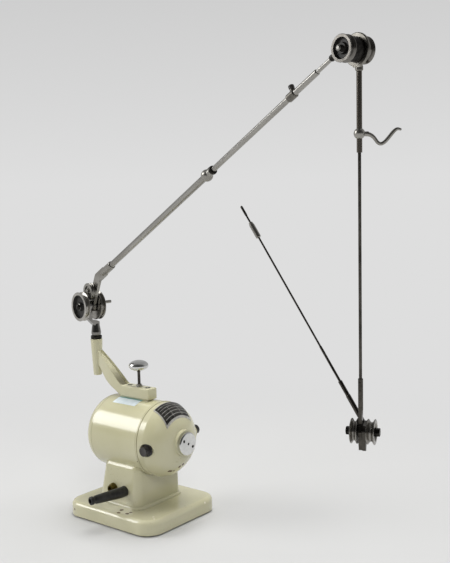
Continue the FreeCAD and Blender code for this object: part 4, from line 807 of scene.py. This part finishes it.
def makeScrewHead(s):
    # raised countersunk head with a slot, its seat at the origin
    head = addRod(s["radius"], -s["height"], 0)
    head.name = "screwHead"
    openFaces(head, facesUp)
    for share in s["crownSteps"]:
        insetFaces(s["radius"] * share, s["crown"] / 2)
    closeEdit()
    bpy.ops.mesh.primitive_cube_add(size=1, location=(0, 0, s["crown"] * mm),
                                    scale=(3 * s["radius"] * mm, s["slotWidth"] * mm, 2 * s["slotDepth"] * mm))
    cutAway(head, bpy.context.object)
    bevelEdges(head, s["round"], 2, 40)
    return head


screwHead = makeScrewHead(screwSettings)
capLow, capHigh = (Vector(c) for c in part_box("bearing_cap"))
capMiddle = (capLow + capHigh) / 2
capFace = Vector((capHigh.x, 0, capMiddle.z))
capTurn = math.radians(148)
capScrewRing = 9.4 * mm
capScrewOff = Vector((0, math.cos(capTurn), math.sin(capTurn))) * capScrewRing
strapScrewAt = armFrame @ Vector((67 * mm, 0, 30 * mm))
rearAt, frontAt = (Vector((x * mm, 0, barHigh * mm)) for x in bracketSettings["screwsAt"])
upwards, forwards = Vector((0, 0, 1)), Vector((1, 0, 0))
# where each head sits, the way it looks, the turn of its slot, its size, and the node that holds it
screwSeats = {
    "bracketScrewRear": (rearAt, upwards, 25, 0.95, "arm_bracket"),
    "bracketScrewFront": (frontAt, upwards, -40, 0.95, "arm_bracket"),
    "capScrewLeft": (capFace + capScrewOff, forwards, 30, 0.5, "bearing_cap"),
    "capScrewRight": (capFace - capScrewOff, forwards, 75, 0.5, "bearing_cap"),
    "strapScrew": (strapScrewAt, armZ, 10, 0.48, "arm_strap"),
}
for name, (at, way, turn, size, node) in screwSeats.items():
    head = copyPiece(screwHead, name)
    place = aimed(at, way) @ Matrix.Rotation(math.radians(turn), 4, "Z") @ Matrix.Scale(size, 4)
    finishPiece(head, blackSteel, node, place)
bpy.data.objects.remove(screwHead)
print("screw heads made:", len(screwSeats))


def makeSticker(s):
    # a strip of a cylinder just above the shell, thickened outwards
    low, high = (Vector(c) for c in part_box("motor_shell"))
    middle = (low + high) / 2
    radius = (high.z - low.z) / 2 + s["lift"] * mm
    deselect()
    bpy.ops.mesh.primitive_cylinder_add(vertices=720, radius=radius, depth=(s["end"] - s["start"]) * mm,
                                        end_fill_type="NOTHING", rotation=(0, math.pi / 2, 0),
                                        location=((s["start"] + s["end"]) / 2 * mm, 0, middle.z))
    sheet = bpy.context.object
    sheet.name = "sticker"
    bpy.ops.object.transform_apply(location=True, rotation=True, scale=True)

    def outside(face):
        at = face.calc_center_median()
        angle = math.degrees(math.atan2(at.z - middle.z, at.y))
        return not s["low"] < angle < s["high"]

    openFaces(sheet, outside)
    bpy.ops.mesh.delete(type="FACE")
    closeEdit()
    applyModifier(sheet, "SOLIDIFY", thickness=s["thick"] * mm, offset=1.0)
    finishPiece(sheet, stickerPaper, "motor_shell")


makeSticker(stickerSettings)
print("sticker made")

capSettings = {
    "flangeRadius": 7.9, "flangeHeight": 2.4, "knobRadius": 6.0, "knobHeight": 6.6, "waistHeight": 0.5,
    "gripInset": 0.02, "gripLow": 0.6, "rim": 1.4, "hollow": 0.5, "round": 0.25,
    "flutes": 20, "fluteRim": 0.22, "fluteDepth": 0.45,
    # tilt of the brushes in degrees, their place along the motor and the cap's seat from its middle
    "tilt": 3.2, "at": 53.6, "face": 41.0,
}


def makeBrushCaps(s):
    # fluted bakelite cap: flange, waist and grip, turned out of one cylinder
    cap = addRod(s["flangeRadius"], 0, s["flangeHeight"], vertices=2 * s["flutes"])
    cap.name = "brushCap"
    openFaces(cap, facesUp)
    for inset, rise in ((s["flangeRadius"] - s["knobRadius"], s["waistHeight"]), (s["gripInset"], s["knobHeight"])):
        insetFaces(inset)
        extrudeBy(0, 0, rise)
    insetFaces(s["rim"], -s["hollow"])
    closeEdit()
    grip = s["flangeHeight"] + s["gripLow"]

    def flute(face):
        at = face.calc_center_median()
        index = int(round(math.degrees(math.atan2(at.y, at.x)) / (180 / s["flutes"]) - 0.5))
        return abs(face.normal.z) < 0.3 and at.z > grip * mm and index % 2 == 0

    openFaces(cap, flute)
    insetFaces(s["fluteRim"], -s["fluteDepth"], use_individual=True)
    closeEdit()
    bevelEdges(cap, s["round"], 2, 50)
    turn = math.radians(s["tilt"])
    middle = Vector((s["at"] * mm, 0, capMiddle.z))
    for name, side in (("brushCapNear", -1), ("brushCapFar", 1)):
        way = Vector((0, math.cos(turn), math.sin(turn))) * side
        piece = copyPiece(cap, name)
        finishPiece(piece, bakelite, "brush_caps", aimed(middle + way * s["face"] * mm, way))
    bpy.data.objects.remove(cap)
    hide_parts("brush_caps")


makeBrushCaps(capSettings)
print("brush caps made")

glandSettings = {
    "nutRadius": 7.0, "nutLength": 3.2, "nutRound": 0.5,
    "barrelRadius": 4.7, "barrelLength": 4.0, "barrelSunk": 0.2, "barrelRound": 0.3,
    "bore": 3.3, "boreBeyond": 1.5, "seat": -41.0,
}


def makeGland(s):
    # hexagon gland nut with a turned nose and an open bore, for the cable way that is not in use
    low, high = (Vector(c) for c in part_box("cable_fitting"))
    middle = (low + high) / 2
    nut = addRod(s["nutRadius"], 0, s["nutLength"], vertices=6)
    nut.name = "glandNut"
    bevelEdges(nut, s["nutRound"], 3, 40)
    start = s["nutLength"] - s["barrelSunk"]
    nose = addRod(s["barrelRadius"], start, start + s["barrelLength"])
    openFaces(nose, facesUp)
    insetFaces(s["barrelRadius"] - s["bore"])
    extrudeBy(0, 0, -(s["barrelLength"] + s["boreBeyond"]))
    closeEdit()
    bevelEdges(nose, s["barrelRound"], 2, 40)
    joinPieces(nut, nose)
    seat = Vector((middle.x, s["seat"] * mm, middle.z))
    finishPiece(nut, brass, "cable_fitting", aimed(seat, Vector((0, -1, 0))))


makeGland(glandSettings)
print("gland made")
